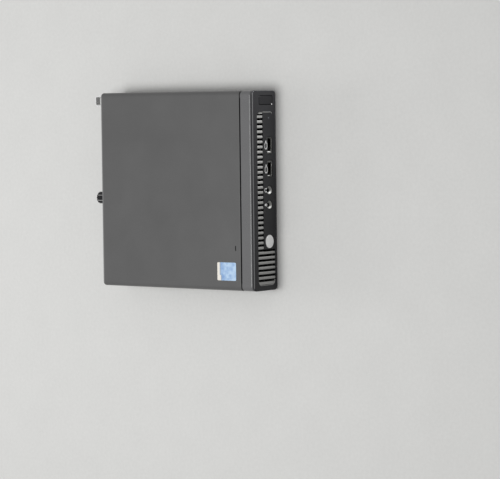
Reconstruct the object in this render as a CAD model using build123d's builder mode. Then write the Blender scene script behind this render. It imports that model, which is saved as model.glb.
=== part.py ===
"""A one-litre desktop computer: a folded steel tray, a sliding cover, and the parts inside.

Millimetres.  +Z up, the computer lying on its feet; the front panel faces -Y, and +X is
on the right when looking at the front.  The origin is on the surface it stands on, under
the centre of the 100 mm pattern of mounting holes.
"""

import os

from build123d import *

os.makedirs("parts", exist_ok=True)

# ---------------------------------------------------------------- driving dimensions
case_width = 177.0  # X
case_depth = 175.0  # Y, front panel to the cover's rear flange
case_height = 34.0  # Z, table to the top of the cover
foot_height = 1.2
sheet = 0.8  # steel sheet of the tray, rail and cover
slip = 0.3  # gap between pieces that slide past each other
seat_gap = 0.1  # gap round a fixed piece in its opening

# Cover and front rail
cover_drop = 10.0  # depth of the folded side flanges
side_round = 4.0  # bend along the long top edges
rear_round = 1.5  # bend along the rear top edge
rail_round = 1.3  # bend along the front rail's front edge
rail_depth = 11.4  # top of the front rail, front to back
seam = 1.3  # open joint between rail and cover
seam_round = 0.35  # rounding of the sheet on both sides of it
tongue_length = 5.5  # lip of the cover under the front rail
tongue_drop = 2.4  # its depth below the rail's underside
tongue_setback = 3.0  # its riser stands this far behind the joint
rear_flange = 5.0  # cover's rear flange
cover_travel = 12.0  # the cover slides this far to come free
hook_length = 7.0
hook_reach = 5.0
hook_places = (-48.0, 4.0, 56.0)  # along Y
track_width = 5.4  # inward flange of the tray that the hooks run under

# Front panel
bezel_skin = 1.7
bezel_gap = 0.9  # shadow gap between the front panel and the rail
bezel_lift = 0.4  # the front panel's lower edge is clear of the table
bezel_corner = 3.5
bezel_inset, bezel_rim = 1.2, 0.8  # the rim behind the skin: how far set in, and its wall
insert_left, insert_right = -84.0, 69.8  # opening for grille and port panel
insert_low, insert_high = 3.2, 28.1
insert_corner = 4.5
vent_split_x = -52.0  # full-height bars are left of this
vent_split_z = 19.8  # short bars are above this
bar_pitch = 4.46
bar_width = 2.4
bar_depth = 1.4
first_bar_x = 65.4
short_bars, tall_bars = 27, 7
button_x, button_z = 80.1, 15.0
button_width, button_height = 8.0, 20.0
button_travel = 0.8
front_usb_x = (40.0, 19.5)
front_port_z = 9.55
usb_opening = (15.3, 7.5)
jack_x = (0.4, -12.6)
jack_z = 10.8
jack_ring = 4.0  # radius
jack_bore = 1.8
jack_funnel = 1.7
light_x, light_z, light_radius = 64.5, 10.8, 0.9
badge_x, badge_z, badge_radius = -45.2, 11.2, 6.0

# Rear panel: places along X, and sizes
screw_x, screw_drop = -7.8, 8.5  # thumbscrew, measured down from the top
screw_radius = 1.75
screw_head, screw_head_length = 5.5, 7.2
tab_width = 14.0
tab_below = 6.5  # the tab ends this far below the screw
loop_x, loop_z = 81.3, 23.0  # padlock loop
loop_width, loop_height, loop_reach = 9.9, 6.0, 14.2
loop_strap = 1.2
inlet_x, network_x, rear_usb_x = 68.0, 50.0, (32.0, 15.0)
vga_x, display_x = -12.0, (-41.0, -61.0)
antenna_x, antenna_z = -79.5, 17.0
lock_slot_x, lock_slot_z = 81.0, 11.0

# Board and what stands on it
standoff = 2.8
board_thickness = 1.6
board_half_width = 83.0
board_rear_gap = 1.1
board_main_front, board_tab_front, board_tab_left = -62.0, -80.0, -24.0
screw_columns, screw_rows = (-76.0, 6.0, 76.0), (-54.0, 62.0)
mount_spacing = 100.0  # square pattern of M4 holes
mount_hole = 2.0  # radius

# ------------------------------------------------------------------ derived places
x_side = case_width / 2
y_front, y_rear = -case_depth / 2, case_depth / 2
z_top = case_height
z_base = foot_height
z_floor = z_base + sheet
y_skin_back = y_front + bezel_skin
y_rail_front = y_skin_back + bezel_gap
y_rail_back = y_rail_front + rail_depth
y_cover_front = y_rail_back + seam
z_flange = z_top - cover_drop
z_cover_under = z_top - sheet
screw_z = z_top - screw_drop
x_wall = x_side - sheet - slip  # outer face of the tray's upper wall
y_wall = y_rear - sheet - slip  # outer face of the tray's rear wall
y_wall_in = y_wall - sheet
z_track = z_cover_under - slip  # top of the tray's inward flange
z_joggle = z_flange - slip
z_board = z_floor + standoff
z_parts = z_board + board_thickness  # top of the board
y_tray_front = y_rail_front + sheet + seat_gap
y_connector = y_wall + 0.5  # rear connectors stand out by half a millimetre


def front_plane(y):
    """The X-Z plane at depth y. A positive extrude comes forward, a negative one goes back."""
    return Plane.XZ.offset(-y)


def tray_outline():
    """Outside of the tray's section above its track flanges, clockwise from the upper right."""
    step = x_side - x_wall
    right = [(x_wall, z_track), (x_wall, z_joggle), (x_side, z_joggle - step), (x_side, z_base)]
    left = [(-x, z) for x, z in reversed(right)]
    return right + left


top_bend = side_round - sheet - slip  # runs inside the cover's bend
tray_bends = [top_bend, 0.4, 1.1, 2.0, 2.0, 1.1, 0.4, top_bend]

# ------------------------------------------------------------------------- chassis
inlet_hole = (9.6, 11.6)
network_hole = (16.4, 13.9)
usb_stack = (13.2, 15.6)
usb_stack_depth = 18.0
vga_flange = (31.0, 12.5)
display_body = (16.6, 4.8)
nut_radius, nut_length = 4.0, 4.0
vent_pitch, vent_radius = 5.0, 2.4

with BuildPart() as chassis:
    # one sheet folded into base, side walls stepped in under the cover, and track flanges
    with BuildSketch(front_plane(y_tray_front)):
        with BuildLine():
            tips = x_wall - track_width
            FilletPolyline((tips, z_track), *tray_outline(), (-tips, z_track), radius=tray_bends)
            offset(amount=sheet, side=Side.RIGHT)
        make_face()
    extrude(amount=-(y_wall - y_tray_front))
    # rear wall
    with BuildSketch(front_plane(y_wall_in)):
        with BuildLine():
            FilletPolyline(*tray_outline(), radius=tray_bends, close=True)
        make_face()
    extrude(amount=-sheet)
    # pressed nut for the thumbscrew
    with BuildSketch(front_plane(y_wall_in)):
        with Locations((screw_x, screw_z)):
            Circle(nut_radius)
    extrude(amount=nut_length)
    # notches in the track flanges, where the cover's hooks lift out
    with BuildSketch(Plane.XY.offset(z_track - 2 * sheet)):
        for hook_y in hook_places:
            with Locations((0, hook_y + cover_travel)):
                Rectangle(2 * (x_wall - 1.2), hook_length + 3.0)
        Rectangle(2 * (x_wall - track_width - 1.0), case_depth, mode=Mode.SUBTRACT)
    extrude(amount=3 * sheet, mode=Mode.SUBTRACT)
    # rear openings
    with BuildSketch(front_plane(y_wall + 1)):
        stands = [(inlet_x, inlet_hole), (network_x, network_hole)]
        stands += [(x, (usb_stack[0] + 0.6, usb_stack[1] + 0.3)) for x in rear_usb_x]
        stands += [(x, (display_body[0] + 0.6, display_body[1] + 0.3)) for x in display_x]
        for x, (wide, tall) in stands:
            with Locations((x, z_parts + tall / 2)):
                Rectangle(wide, tall)
        with Locations((vga_x, z_parts + vga_flange[1] / 2)):
            Trapezoid(18.0, 9.4, 80)
            with GridLocations(25.0, 0, 2, 1):
                Circle(1.7)
        with Locations((lock_slot_x, lock_slot_z)):
            RectangleRounded(3.2, 7.2, 1.0)
        with Locations((screw_x, screw_z)):
            Circle(screw_radius + 0.05)
        with Locations((antenna_x, antenna_z)):
            Circle(2.6)
        for side in (-1, 1):
            with Locations((loop_x + side * (loop_width - loop_strap) / 2, loop_z)):
                Rectangle(loop_strap + 2 * seat_gap, loop_height + 2 * seat_gap)
        for row in range(2):
            with Locations((-50.0 - row * vent_pitch / 2, 18.0 + row * 4.8)):
                with GridLocations(vent_pitch, 0, 9, 1):
                    RegularPolygon(vent_radius, 6)
    extrude(amount=2 + sheet + nut_length, mode=Mode.SUBTRACT)
    # base: mounting holes and air slots
    with BuildSketch(Plane.XY.offset(z_base - 1)):
        with GridLocations(mount_spacing, mount_spacing, 2, 2):
            Circle(mount_hole)
        for x, columns, length in ((-56, 1, 34), (48, 2, 24)):
            with Locations((x, 4)):
                with GridLocations(32, 9, columns, 4):
                    RectangleRounded(length, 4.0, 1.5)
    extrude(amount=2 + sheet, mode=Mode.SUBTRACT)
chassis.part.label = "chassis"
export_step(chassis.part, "parts/chassis.step")

# ---------------------------------------------------------------------- front rail
insert_width, insert_height = insert_right - insert_left, insert_high - insert_low
insert_centre = ((insert_left + insert_right) / 2, (insert_low + insert_high) / 2)

with BuildSketch() as air_window:
    # the part of the front opening that the bars cover, seen from the front
    with Locations(insert_centre):
        trim = 2 * seat_gap
        RectangleRounded(insert_width - trim, insert_height - trim, insert_corner)
    with Locations((vent_split_x, vent_split_z + seat_gap)):
        Rectangle(case_width, case_height, align=(Align.MIN, Align.MAX), mode=Mode.SUBTRACT)

with BuildPart() as front_rail:
    with BuildSketch(Plane.XY.offset(z_flange)):
        with Locations((0, (y_rail_front + y_rail_back) / 2)):
            Rectangle(case_width, rail_depth)
    extrude(amount=cover_drop)
    fillet(front_rail.edges().filter_by(Axis.Y).group_by(Axis.Z)[-1], side_round)
    front_face = front_rail.faces().sort_by(Axis.Y)[0]
    fillet(front_face.edges().sort_by(Axis.Z)[1:], rail_round)
    hollow = [front_rail.faces().sort_by(Axis.Z)[0], front_rail.faces().sort_by(Axis.Y)[-1]]
    offset(amount=-sheet, openings=hollow)
    joint_face = front_rail.faces().sort_by(Axis.Y)[-1]
    fillet(joint_face.edges().sort_by(Axis.Z)[-1], seam_round)
    # the front wall hangs from the rail, down to the tray's base
    with BuildSketch(front_plane(y_rail_front)):
        with Locations((0, (z_base + z_flange + 1) / 2)):
            Rectangle(case_width - 2 * rail_round - 1.0, z_flange + 1 - z_base)
    extrude(amount=-sheet)
    # windows for air, ports and the power button
    with BuildSketch(front_plane(y_rail_front - 1)):
        add(air_window.sketch_local)
        with Locations((14.0, 10.2)):
            Rectangle(68.0, 12.4)
        with Locations((light_x, light_z)):
            Circle(2.0)
        with Locations((button_x, button_z)):
            Rectangle(button_width + 3.4, button_height + 3.4)
    extrude(amount=-(2 + sheet), mode=Mode.SUBTRACT)
front_rail.part.label = "front_rail"
export_step(front_rail.part, "parts/front_rail.step")

# -------------------------------------------------------------------- access panel
cover_length = y_rear - y_cover_front
z_tongue = z_cover_under - tongue_drop
y_riser = y_cover_front + tongue_setback
hook_z = z_track - sheet - slip - sheet  # underside of a hook's foot
x_track = x_wall - track_width  # inner edge of the track flange

with BuildPart() as access_panel:
    with BuildSketch(Plane.XY.offset(z_flange)):
        with Locations((0, (y_cover_front + y_rear) / 2)):
            Rectangle(case_width, cover_length)
    extrude(amount=cover_drop)
    fillet(access_panel.edges().filter_by(Axis.Y).group_by(Axis.Z)[-1], side_round)
    back_face = access_panel.faces().sort_by(Axis.Y)[-1]
    fillet(back_face.edges().sort_by(Axis.Z)[1:], rear_round)
    hollow = [access_panel.faces().sort_by(Axis.Z)[0], access_panel.faces().sort_by(Axis.Y)[0]]
    offset(amount=-sheet, openings=hollow)
    joint_face = access_panel.faces().sort_by(Axis.Y)[0]
    fillet(joint_face.edges().sort_by(Axis.Z)[-1], seam_round)
    # the rear flange is shorter than the sides, with a tab for the thumbscrew
    with BuildSketch(front_plane(y_rear - 2 * sheet - slip)):
        with Locations((0, z_top - rear_flange - cover_drop / 2)):
            Rectangle(case_width - 2 * rear_round - 0.2, cover_drop)
    extrude(amount=-4.0, mode=Mode.SUBTRACT)
    with BuildSketch(front_plane(y_rear - sheet)) as tab:
        tab_low, tab_high = screw_z - tab_below, z_top - rear_flange + 1.0
        with Locations((screw_x, (tab_low + tab_high) / 2)):
            Rectangle(tab_width, tab_high - tab_low)
        fillet(tab.vertices().group_by(Axis.Y)[0], 3.0)
        with Locations((screw_x, screw_z)):
            Circle(screw_radius + 0.7, mode=Mode.SUBTRACT)
    extrude(amount=-sheet)
    # stepped tongue that goes under the front rail
    with BuildSketch(Plane.YZ):
        with BuildLine():
            Polyline(
                (y_riser, z_cover_under + sheet / 2),
                (y_riser, z_tongue),
                (y_cover_front - tongue_length, z_tongue),
                (y_cover_front - tongue_length, z_tongue - sheet),
                (y_riser + sheet, z_tongue - sheet),
                (y_riser + sheet, z_cover_under + sheet / 2),
                close=True,
            )
        make_face()
    extrude(amount=x_track - 2.0, both=True)
    # hooks that run under the tray's track flanges
    for hook_y in hook_places:
        with BuildSketch(front_plane(hook_y - hook_length / 2)) as hook:
            with BuildLine():
                Polyline(
                    (x_track - 2.0, z_cover_under + sheet / 2),
                    (x_track - 2.0, hook_z),
                    (x_track - 2.0 + hook_reach, hook_z),
                    (x_track - 2.0 + hook_reach, hook_z + sheet),
                    (x_track - 2.0 + sheet, hook_z + sheet),
                    (x_track - 2.0 + sheet, z_cover_under + sheet / 2),
                    close=True,
                )
            make_face()
            mirror(about=Plane.YZ)
        extrude(amount=-hook_length)
    # short slot near the front edge
    with BuildSketch(Plane.XY.offset(z_top + 1)):
        with Locations((-50.7, y_cover_front + 5.6)):
            SlotOverall(4.5, 1.0)
    extrude(amount=-(2 + sheet), mode=Mode.SUBTRACT)
access_panel.part.label = "access_panel"
export_step(access_panel.part, "parts/access_panel.step")

# --------------------------------------------------------------------- front bezel
bezel_height = z_top - bezel_lift
bezel_mid = (z_top + bezel_lift) / 2

with BuildPart() as front_bezel:
    with BuildSketch(front_plane(y_skin_back)):
        with Locations((0, bezel_mid)):
            RectangleRounded(case_width, bezel_height, bezel_corner)
    extrude(amount=bezel_skin)
    fillet(front_bezel.faces().sort_by(Axis.Y)[0].edges(), 0.6)
    with BuildSketch(front_plane(y_rail_front)):
        with Locations((0, bezel_mid)):
            trim = 2 * bezel_inset
            RectangleRounded(case_width - trim, bezel_height - trim, bezel_corner - bezel_inset)
            trim = 2 * (bezel_inset + bezel_rim)
            Rectangle(case_width - trim, bezel_height - trim, mode=Mode.SUBTRACT)
    extrude(amount=bezel_gap)
    with BuildSketch(front_plane(y_front - 1)):
        with Locations(insert_centre):
            RectangleRounded(insert_width, insert_height, insert_corner)
        with Locations((button_x, button_z)):
            RectangleRounded(button_width + 2 * slip, button_height + 2 * slip, 1.6)
    extrude(amount=-(2 + bezel_skin), mode=Mode.SUBTRACT)
front_bezel.part.label = "front_bezel"
export_step(front_bezel.part, "parts/front_bezel.step")

# --------------------------------------------------------------------- vent grille
bar_front = y_skin_back - bar_depth
last_short_x = first_bar_x - (short_bars - 1) * bar_pitch
short_mid_x = (first_bar_x + last_short_x) / 2
tall_mid_x = last_short_x - (tall_bars + 1) * bar_pitch / 2
end_bar_width, end_rim, bar_round = 1.7, 0.5, 0.5
plate_low, plate_high = bezel_lift + bezel_inset + bezel_rim + seat_gap, insert_high + 1.2

with BuildSketch() as bars:
    with Locations((short_mid_x, (vent_split_z + case_height) / 2)):
        with GridLocations(bar_pitch, 0, short_bars, 1):
            Rectangle(bar_width, case_height - vent_split_z)
    with Locations((tall_mid_x, case_height / 2)):
        with GridLocations(bar_pitch, 0, tall_bars, 1):
            Rectangle(bar_width, case_height)
    with Locations((insert_right - end_bar_width / 2, (vent_split_z + case_height) / 2)):
        Rectangle(end_bar_width, case_height - vent_split_z)
    # trimmed to the opening's rounded ends
    add(air_window.sketch_local, mode=Mode.INTERSECT)

with BuildPart() as vent_grille:
    # backing plate in the gap behind the front panel's skin, open behind the bars and ports
    with BuildSketch(front_plane(y_rail_front)):
        with Locations((insert_centre[0], (plate_low + plate_high) / 2)):
            Rectangle(insert_width + 3.6, plate_high - plate_low)
        add(air_window.sketch_local, mode=Mode.SUBTRACT)
        with Locations((14.0, 10.2)):
            Rectangle(68.0, 12.4, mode=Mode.SUBTRACT)
        with Locations((light_x, light_z)):
            Circle(light_radius + seat_gap, mode=Mode.SUBTRACT)
        add(bars.sketch_local)
    extrude(amount=bezel_gap)
    with BuildSketch(front_plane(y_skin_back)):
        add(bars.sketch_local)
    extrude(amount=bar_depth)
    # thin rim that shows round the two ends of the opening
    ends = [
        # middle X, half width, low Z, high Z
        (insert_left, insert_corner + 0.6, 0.0, case_height),
        (insert_right, end_rim + seat_gap, insert_low, vent_split_z + 0.5),
    ]
    for x, reach, low, high in ends:
        with BuildSketch(front_plane(y_rail_front)):
            for inset, mode in ((seat_gap, Mode.ADD), (seat_gap + end_rim, Mode.SUBTRACT)):
                with Locations(insert_centre):
                    RectangleRounded(
                        insert_width - 2 * inset, insert_height - 2 * inset,
                        insert_corner + seat_gap - inset, mode=mode,
                    )
            with Locations((x, (low + high) / 2)):
                Rectangle(2 * reach, high - low, mode=Mode.INTERSECT)
        extrude(amount=bezel_gap + bar_depth)
    front_edges = vent_grille.faces().filter_by(Axis.Y).group_by(Axis.Y)[0].edges()
    long_edges = front_edges.filter_by(Axis.Z).filter_by_position(
        Axis.X, tall_mid_x - (tall_bars / 2 - 1.0) * bar_pitch, insert_right - 2 * end_bar_width
    )
    chamfer(long_edges, bar_round)
vent_grille.part.label = "vent_grille"
export_step(vent_grille.part, "parts/vent_grille.step")

# ---------------------------------------------------------------------- port panel
panel_left = vent_split_x + seat_gap
panel_right = insert_right - end_rim - 2 * seat_gap
panel_low, panel_high = insert_low + seat_gap, vent_split_z - seat_gap
badge_depth = 0.6

with BuildPart() as port_panel:
    with BuildSketch(front_plane(y_skin_back)) as outline:
        with Locations(((panel_left + panel_right) / 2, (panel_low + panel_high) / 2)):
            Rectangle(panel_right - panel_left, panel_high - panel_low)
        corner = outline.vertices().sort_by(Axis.X)[-2:].sort_by(Axis.Y)[0]
        fillet(corner, insert_corner - end_rim)
        for x in front_usb_x:
            with Locations((x, front_port_z)):
                RectangleRounded(*usb_opening, 0.8, mode=Mode.SUBTRACT)
        for x in jack_x:
            with Locations((x, jack_z)):
                Circle(jack_ring + seat_gap, mode=Mode.SUBTRACT)
        with Locations((light_x, light_z)):
            Circle(light_radius + seat_gap, mode=Mode.SUBTRACT)
    extrude(amount=bezel_skin)
    with BuildSketch(front_plane(y_front + badge_depth)):
        with Locations((badge_x, badge_z)):
            Circle(badge_radius + seat_gap)
    extrude(amount=badge_depth, mode=Mode.SUBTRACT)
port_panel.part.label = "port_panel"
export_step(port_panel.part, "parts/port_panel.step")

with BuildPart() as badge_disc:
    with BuildSketch(front_plane(y_front + badge_depth)):
        with Locations((badge_x, badge_z)):
            Circle(badge_radius)
    extrude(amount=badge_depth)
    chamfer(badge_disc.faces().sort_by(Axis.Y)[0].edges(), 0.3)
badge_disc.part.label = "badge_disc"
export_step(badge_disc.part, "parts/badge_disc.step")

with BuildPart() as activity_light:
    with BuildSketch(front_plane(y_front + 0.1)):
        with Locations((light_x, light_z)):
            Circle(light_radius)
    extrude(amount=-(board_tab_front - y_front - 0.5))
activity_light.part.label = "activity_light"
export_step(activity_light.part, "parts/activity_light.step")

# -------------------------------------------------------------------- power button
button_flange = 1.0  # rim behind the skin that keeps the button in
switch_front = board_tab_front - 1.5
switch_size = (6.0, 6.0, 12.0)
plunger_gap = button_travel + 0.2

with BuildPart() as power_button:
    with BuildSketch(front_plane(y_skin_back + slip)):
        with Locations((button_x, button_z)):
            RectangleRounded(button_width, button_height, 1.4)
    extrude(amount=bezel_skin + slip)
    chamfer(power_button.faces().sort_by(Axis.Y)[0].edges(), 0.4)
    with BuildSketch(front_plane(y_skin_back + slip)):
        with Locations((button_x, button_z)):
            Rectangle(button_width + 2 * button_flange, button_height + 2 * button_flange)
    extrude(amount=-button_flange)
    with BuildSketch(front_plane(y_skin_back + slip + button_flange)):
        with Locations((button_x, button_z)):
            Circle(1.5)
    extrude(amount=-(switch_front - plunger_gap - y_skin_back - slip - button_flange))
power_button.part.label = "power_button"
export_step(power_button.part, "parts/power_button.step")

with BuildPart() as power_switch:
    with BuildSketch(Plane.XY.offset(z_parts)):
        with Locations((button_x, board_tab_front + switch_size[1] / 2)):
            Rectangle(switch_size[0], switch_size[1])
    extrude(amount=switch_size[2])
    with BuildSketch(front_plane(board_tab_front)):
        with Locations((button_x, button_z)):
            Circle(1.75)
    extrude(amount=board_tab_front - switch_front)
power_switch.part.label = "power_switch"
export_step(power_switch.part, "parts/power_switch.step")

# --------------------------------------------------------------------- rubber feet
with BuildPart() as rubber_feet:
    with BuildSketch():
        with GridLocations(2 * (x_side - 14.5), 2 * (y_rear - 16.0), 2, 2):
            Circle(7.0)
    extrude(amount=foot_height)
rubber_feet.part.label = "rubber_feet"
export_step(rubber_feet.part, "parts/rubber_feet.step")

# ---------------------------------------------------------------------- thumbscrew
washer_thickness = 0.8
flute_count, flute_radius = 14, 0.8
y_washer = y_rear + slip
y_head = y_washer + washer_thickness + slip

with BuildPart() as thumbscrew_washer:
    with BuildSketch(front_plane(y_washer)):
        with Locations((screw_x, screw_z)):
            Circle(5.0)
            Circle(screw_radius + 0.05, mode=Mode.SUBTRACT)
    extrude(amount=-washer_thickness)
thumbscrew_washer.part.label = "thumbscrew_washer"
export_step(thumbscrew_washer.part, "parts/thumbscrew_washer.step")

with BuildPart() as thumbscrew:
    with BuildSketch(front_plane(y_head)) as head:
        with Locations((screw_x, screw_z)):
            Circle(screw_head)
            # grip flutes round the head
            with PolarLocations(screw_head + 0.35, flute_count):
                Circle(flute_radius, mode=Mode.SUBTRACT)
    extrude(amount=-screw_head_length)
    with BuildSketch(front_plane(y_head + screw_head_length)):
        with Locations((screw_x, screw_z)):
            Rectangle(7.0, 1.2)
            Rectangle(1.2, 7.0)
    extrude(amount=2.0, mode=Mode.SUBTRACT)
    with BuildSketch(front_plane(y_head)):
        with Locations((screw_x, screw_z)):
            Circle(screw_radius)
    extrude(amount=y_head - (y_wall_in - nut_length + 0.8))
thumbscrew.part.label = "thumbscrew"
export_step(thumbscrew.part, "parts/thumbscrew.step")

# -------------------------------------------------------------------- padlock loop
with BuildPart() as padlock_loop:
    half = (loop_width - loop_strap) / 2
    foot = 4.0
    with BuildSketch(Plane.XY.offset(loop_z - loop_height / 2)):
        with BuildLine():
            # centre line of the strap: inner foot, leg, outer bar, leg, inner foot
            FilletPolyline(
                (loop_x - half - foot, y_wall_in - loop_strap / 2),
                (loop_x - half, y_wall_in - loop_strap / 2),
                (loop_x - half, y_wall + loop_reach - loop_strap / 2),
                (loop_x + half, y_wall + loop_reach - loop_strap / 2),
                (loop_x + half, y_wall_in - loop_strap),
                radius=[0.7, 2.0, 2.0],
            )
        trace(line_width=loop_strap)
    extrude(amount=loop_height)
padlock_loop.part.label = "padlock_loop"
export_step(padlock_loop.part, "parts/padlock_loop.step")

with BuildPart() as antenna_cover:
    with BuildSketch(front_plane(y_wall)):
        with Locations((antenna_x, antenna_z)):
            RectangleRounded(9.0, 9.0, 1.5)
    extrude(amount=-1.0)
    chamfer(antenna_cover.faces().sort_by(Axis.Y)[-1].edges(), 0.4)
    with BuildSketch(front_plane(y_wall)):
        with Locations((antenna_x, antenna_z)):
            Circle(2.5)
    extrude(amount=2.6)
antenna_cover.part.label = "antenna_cover"
export_step(antenna_cover.part, "parts/antenna_cover.step")

# -------------------------------------------------------------------- system board
y_board_rear = y_wall_in - board_rear_gap
screw_places = [(x, y) for x in screw_columns for y in screw_rows]
processor_x, processor_y = -56.0, 6.0
sink_hole_half = 24.0

with BuildPart() as system_board:
    with BuildSketch(Plane.XY.offset(z_board)):
        with BuildLine():
            Polyline(
                (-board_half_width, board_main_front),
                (board_tab_left, board_main_front),
                (board_tab_left, board_tab_front),
                (board_half_width, board_tab_front),
                (board_half_width, y_board_rear),
                (-board_half_width, y_board_rear),
                close=True,
            )
        make_face()
        with Locations(*screw_places):
            Circle(1.7, mode=Mode.SUBTRACT)
    extrude(amount=board_thickness)
system_board.part.label = "system_board"
export_step(system_board.part, "parts/system_board.step")

with BuildPart() as board_standoffs:
    with BuildSketch(Plane.XY.offset(z_floor)):
        with Locations(*screw_places):
            RegularPolygon(2.9, 6)
    extrude(amount=standoff)
board_standoffs.part.label = "board_standoffs"
export_step(board_standoffs.part, "parts/board_standoffs.step")

with BuildPart() as board_screws:
    with BuildSketch(Plane.XY.offset(z_parts)):
        with Locations(*screw_places):
            RegularPolygon(3.0, 6)
    extrude(amount=1.6)
    with BuildSketch(Plane.XY.offset(z_board + 0.2)):
        with Locations(*screw_places):
            Circle(1.5)
    extrude(amount=board_thickness)
board_screws.part.label = "board_screws"
export_step(board_screws.part, "parts/board_screws.step")

# ------------------------------------------------------------- processor and cooler
socket_height, chip_height = 2.0, 1.2
lid_height = 1.8
z_chip = z_parts + socket_height
z_sink = z_chip + chip_height + lid_height
sink_width, sink_front, sink_rear, sink_plate = 52.0, -28.0, 82.0, 2.5
z_fan = z_sink + sink_plate

with BuildPart() as processor_socket:
    with BuildSketch(Plane.XY.offset(z_parts)):
        with Locations((processor_x, processor_y)):
            Rectangle(45.0, 45.0)
            Rectangle(24.0, 24.0, mode=Mode.SUBTRACT)
    extrude(amount=socket_height)
processor_socket.part.label = "processor_socket"
export_step(processor_socket.part, "parts/processor_socket.step")

with BuildPart() as processor:
    with BuildSketch(Plane.XY.offset(z_chip)):
        with Locations((processor_x, processor_y)):
            Rectangle(37.5, 37.5)
    extrude(amount=chip_height)
    with BuildSketch(Plane.XY.offset(z_chip + chip_height)):
        with Locations((processor_x, processor_y)):
            RectangleRounded(31.0, 31.0, 2.0)
    extrude(amount=lid_height)
processor.part.label = "processor"
export_step(processor.part, "parts/processor.step")

with BuildPart() as heatsink_base:
    with BuildSketch(Plane.XY.offset(z_sink)):
        with Locations((processor_x, (sink_front + sink_rear) / 2)):
            RectangleRounded(sink_width, sink_rear - sink_front, 2.0)
        with Locations((processor_x, processor_y)):
            with GridLocations(2 * sink_hole_half, 2 * sink_hole_half, 2, 2):
                Circle(1.6, mode=Mode.SUBTRACT)
    extrude(amount=sink_plate)
heatsink_base.part.label = "heatsink_base"
export_step(heatsink_base.part, "parts/heatsink_base.step")

with BuildPart() as heatsink_screws:
    with BuildSketch(Plane.XY.offset(z_parts)):
        with Locations((processor_x, processor_y)):
            with GridLocations(2 * sink_hole_half, 2 * sink_hole_half, 2, 2):
                Circle(1.5)
    extrude(amount=z_fan - z_parts)
    with BuildSketch(Plane.XY.offset(z_fan)):
        with Locations((processor_x, processor_y)):
            with GridLocations(2 * sink_hole_half, 2 * sink_hole_half, 2, 2):
                Circle(1.9)
    extrude(amount=1.5)
heatsink_screws.part.label = "heatsink_screws"
export_step(heatsink_screws.part, "parts/heatsink_screws.step")

fin_count, fin_thickness, fin_height = 20, 0.5, 14.5
fin_front = 42.0
fin_foot = 0.6
with BuildPart() as heatsink_fins:
    with BuildSketch(front_plane(fin_front)):
        with Locations((processor_x, z_fan + fin_foot / 2)):
            Rectangle(sink_width - 2.0, fin_foot)
        with Locations((processor_x, z_fan + fin_foot + fin_height / 2)):
            with GridLocations((sink_width - 3.0) / (fin_count - 1), 0, fin_count, 1):
                Rectangle(fin_thickness, fin_height)
    extrude(amount=-(sink_rear - 1.0 - fin_front))
heatsink_fins.part.label = "heatsink_fins"
export_step(heatsink_fins.part, "parts/heatsink_fins.step")

# ---------------------------------------------------------------------- blower fan
fan_width, fan_height, fan_wall = 44.0, 13.0, 1.2
fan_x, fan_y = processor_x, 6.0
fan_rear = fin_front - 1.0
rotor_radius, rotor_gap = 19.0, 1.4
blade_count, blade_inner, blade_thickness = 19, 12.0, 0.7
hub_radius, hub_wall = 9.0, 0.9
z_rotor = z_fan + fan_wall + rotor_gap
rotor_height = fan_height - 2 * fan_wall - 2 * rotor_gap
inlet_radius = 16.0

with BuildPart() as fan_housing:
    # round nose at the front, straight mouth towards the fins
    with BuildSketch(Plane.XY.offset(z_fan)):
        with Locations((fan_x, fan_y)):
            Circle(fan_width / 2)
        with Locations((fan_x, (fan_y + fan_rear) / 2)):
            Rectangle(fan_width, fan_rear - fan_y)
    extrude(amount=fan_height)
    mouth = fan_housing.faces().sort_by(Axis.Y)[-1]
    offset(amount=-fan_wall, openings=mouth)
    with BuildSketch(Plane.XY.offset(z_fan + fan_height + 1)):
        with Locations((fan_x, fan_y)):
            Circle(inlet_radius)
    extrude(amount=-(fan_wall + 2), mode=Mode.SUBTRACT)
fan_housing.part.label = "fan_housing"
export_step(fan_housing.part, "parts/fan_housing.step")

with BuildPart() as fan_motor:
    with BuildSketch(Plane.XY.offset(z_fan + fan_wall)):
        with Locations((fan_x, fan_y)):
            Circle(hub_radius - hub_wall - 0.4)
    extrude(amount=rotor_gap + rotor_height - hub_wall - 0.6)
    with Locations((fan_x, fan_y, z_fan + fan_wall + rotor_gap + rotor_height)):
        Hole(1.05, depth=7.0)
fan_motor.part.label = "fan_motor"
export_step(fan_motor.part, "parts/fan_motor.step")

with BuildSketch() as blade:
    # one backward-curved blade, seen from above, about the fan's axis
    with BuildLine():
        ThreePointArc((blade_inner, 0), (15.8, 1.9), (rotor_radius - 0.3, 5.6))
        offset(amount=blade_thickness, side=Side.LEFT)
    make_face()

with BuildPart() as fan_rotor:
    with BuildSketch(Plane.XY.offset(z_rotor)):
        with Locations((fan_x, fan_y)):
            with PolarLocations(0, blade_count):
                add(blade.sketch_local)
            Circle(rotor_radius, mode=Mode.INTERSECT)
    extrude(amount=rotor_height)
    # web that carries the blades, and the cup over the motor
    with BuildSketch(Plane.XY.offset(z_rotor)):
        with Locations((fan_x, fan_y)):
            Circle(rotor_radius - 1.0)
    extrude(amount=0.8)
    with BuildSketch(Plane.XY.offset(z_rotor)):
        with Locations((fan_x, fan_y)):
            Circle(hub_radius)
    extrude(amount=rotor_height)
    with BuildSketch(Plane.XY.offset(z_rotor - 1)):
        with Locations((fan_x, fan_y)):
            Circle(hub_radius - hub_wall)
    extrude(amount=rotor_height + 1 - hub_wall, mode=Mode.SUBTRACT)
    with BuildSketch(Plane.XY.offset(z_rotor + rotor_height - hub_wall)):
        with Locations((fan_x, fan_y)):
            Circle(1.0)
    extrude(amount=-4.5)
fan_rotor.part.label = "fan_rotor"
export_step(fan_rotor.part, "parts/fan_rotor.step")

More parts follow.
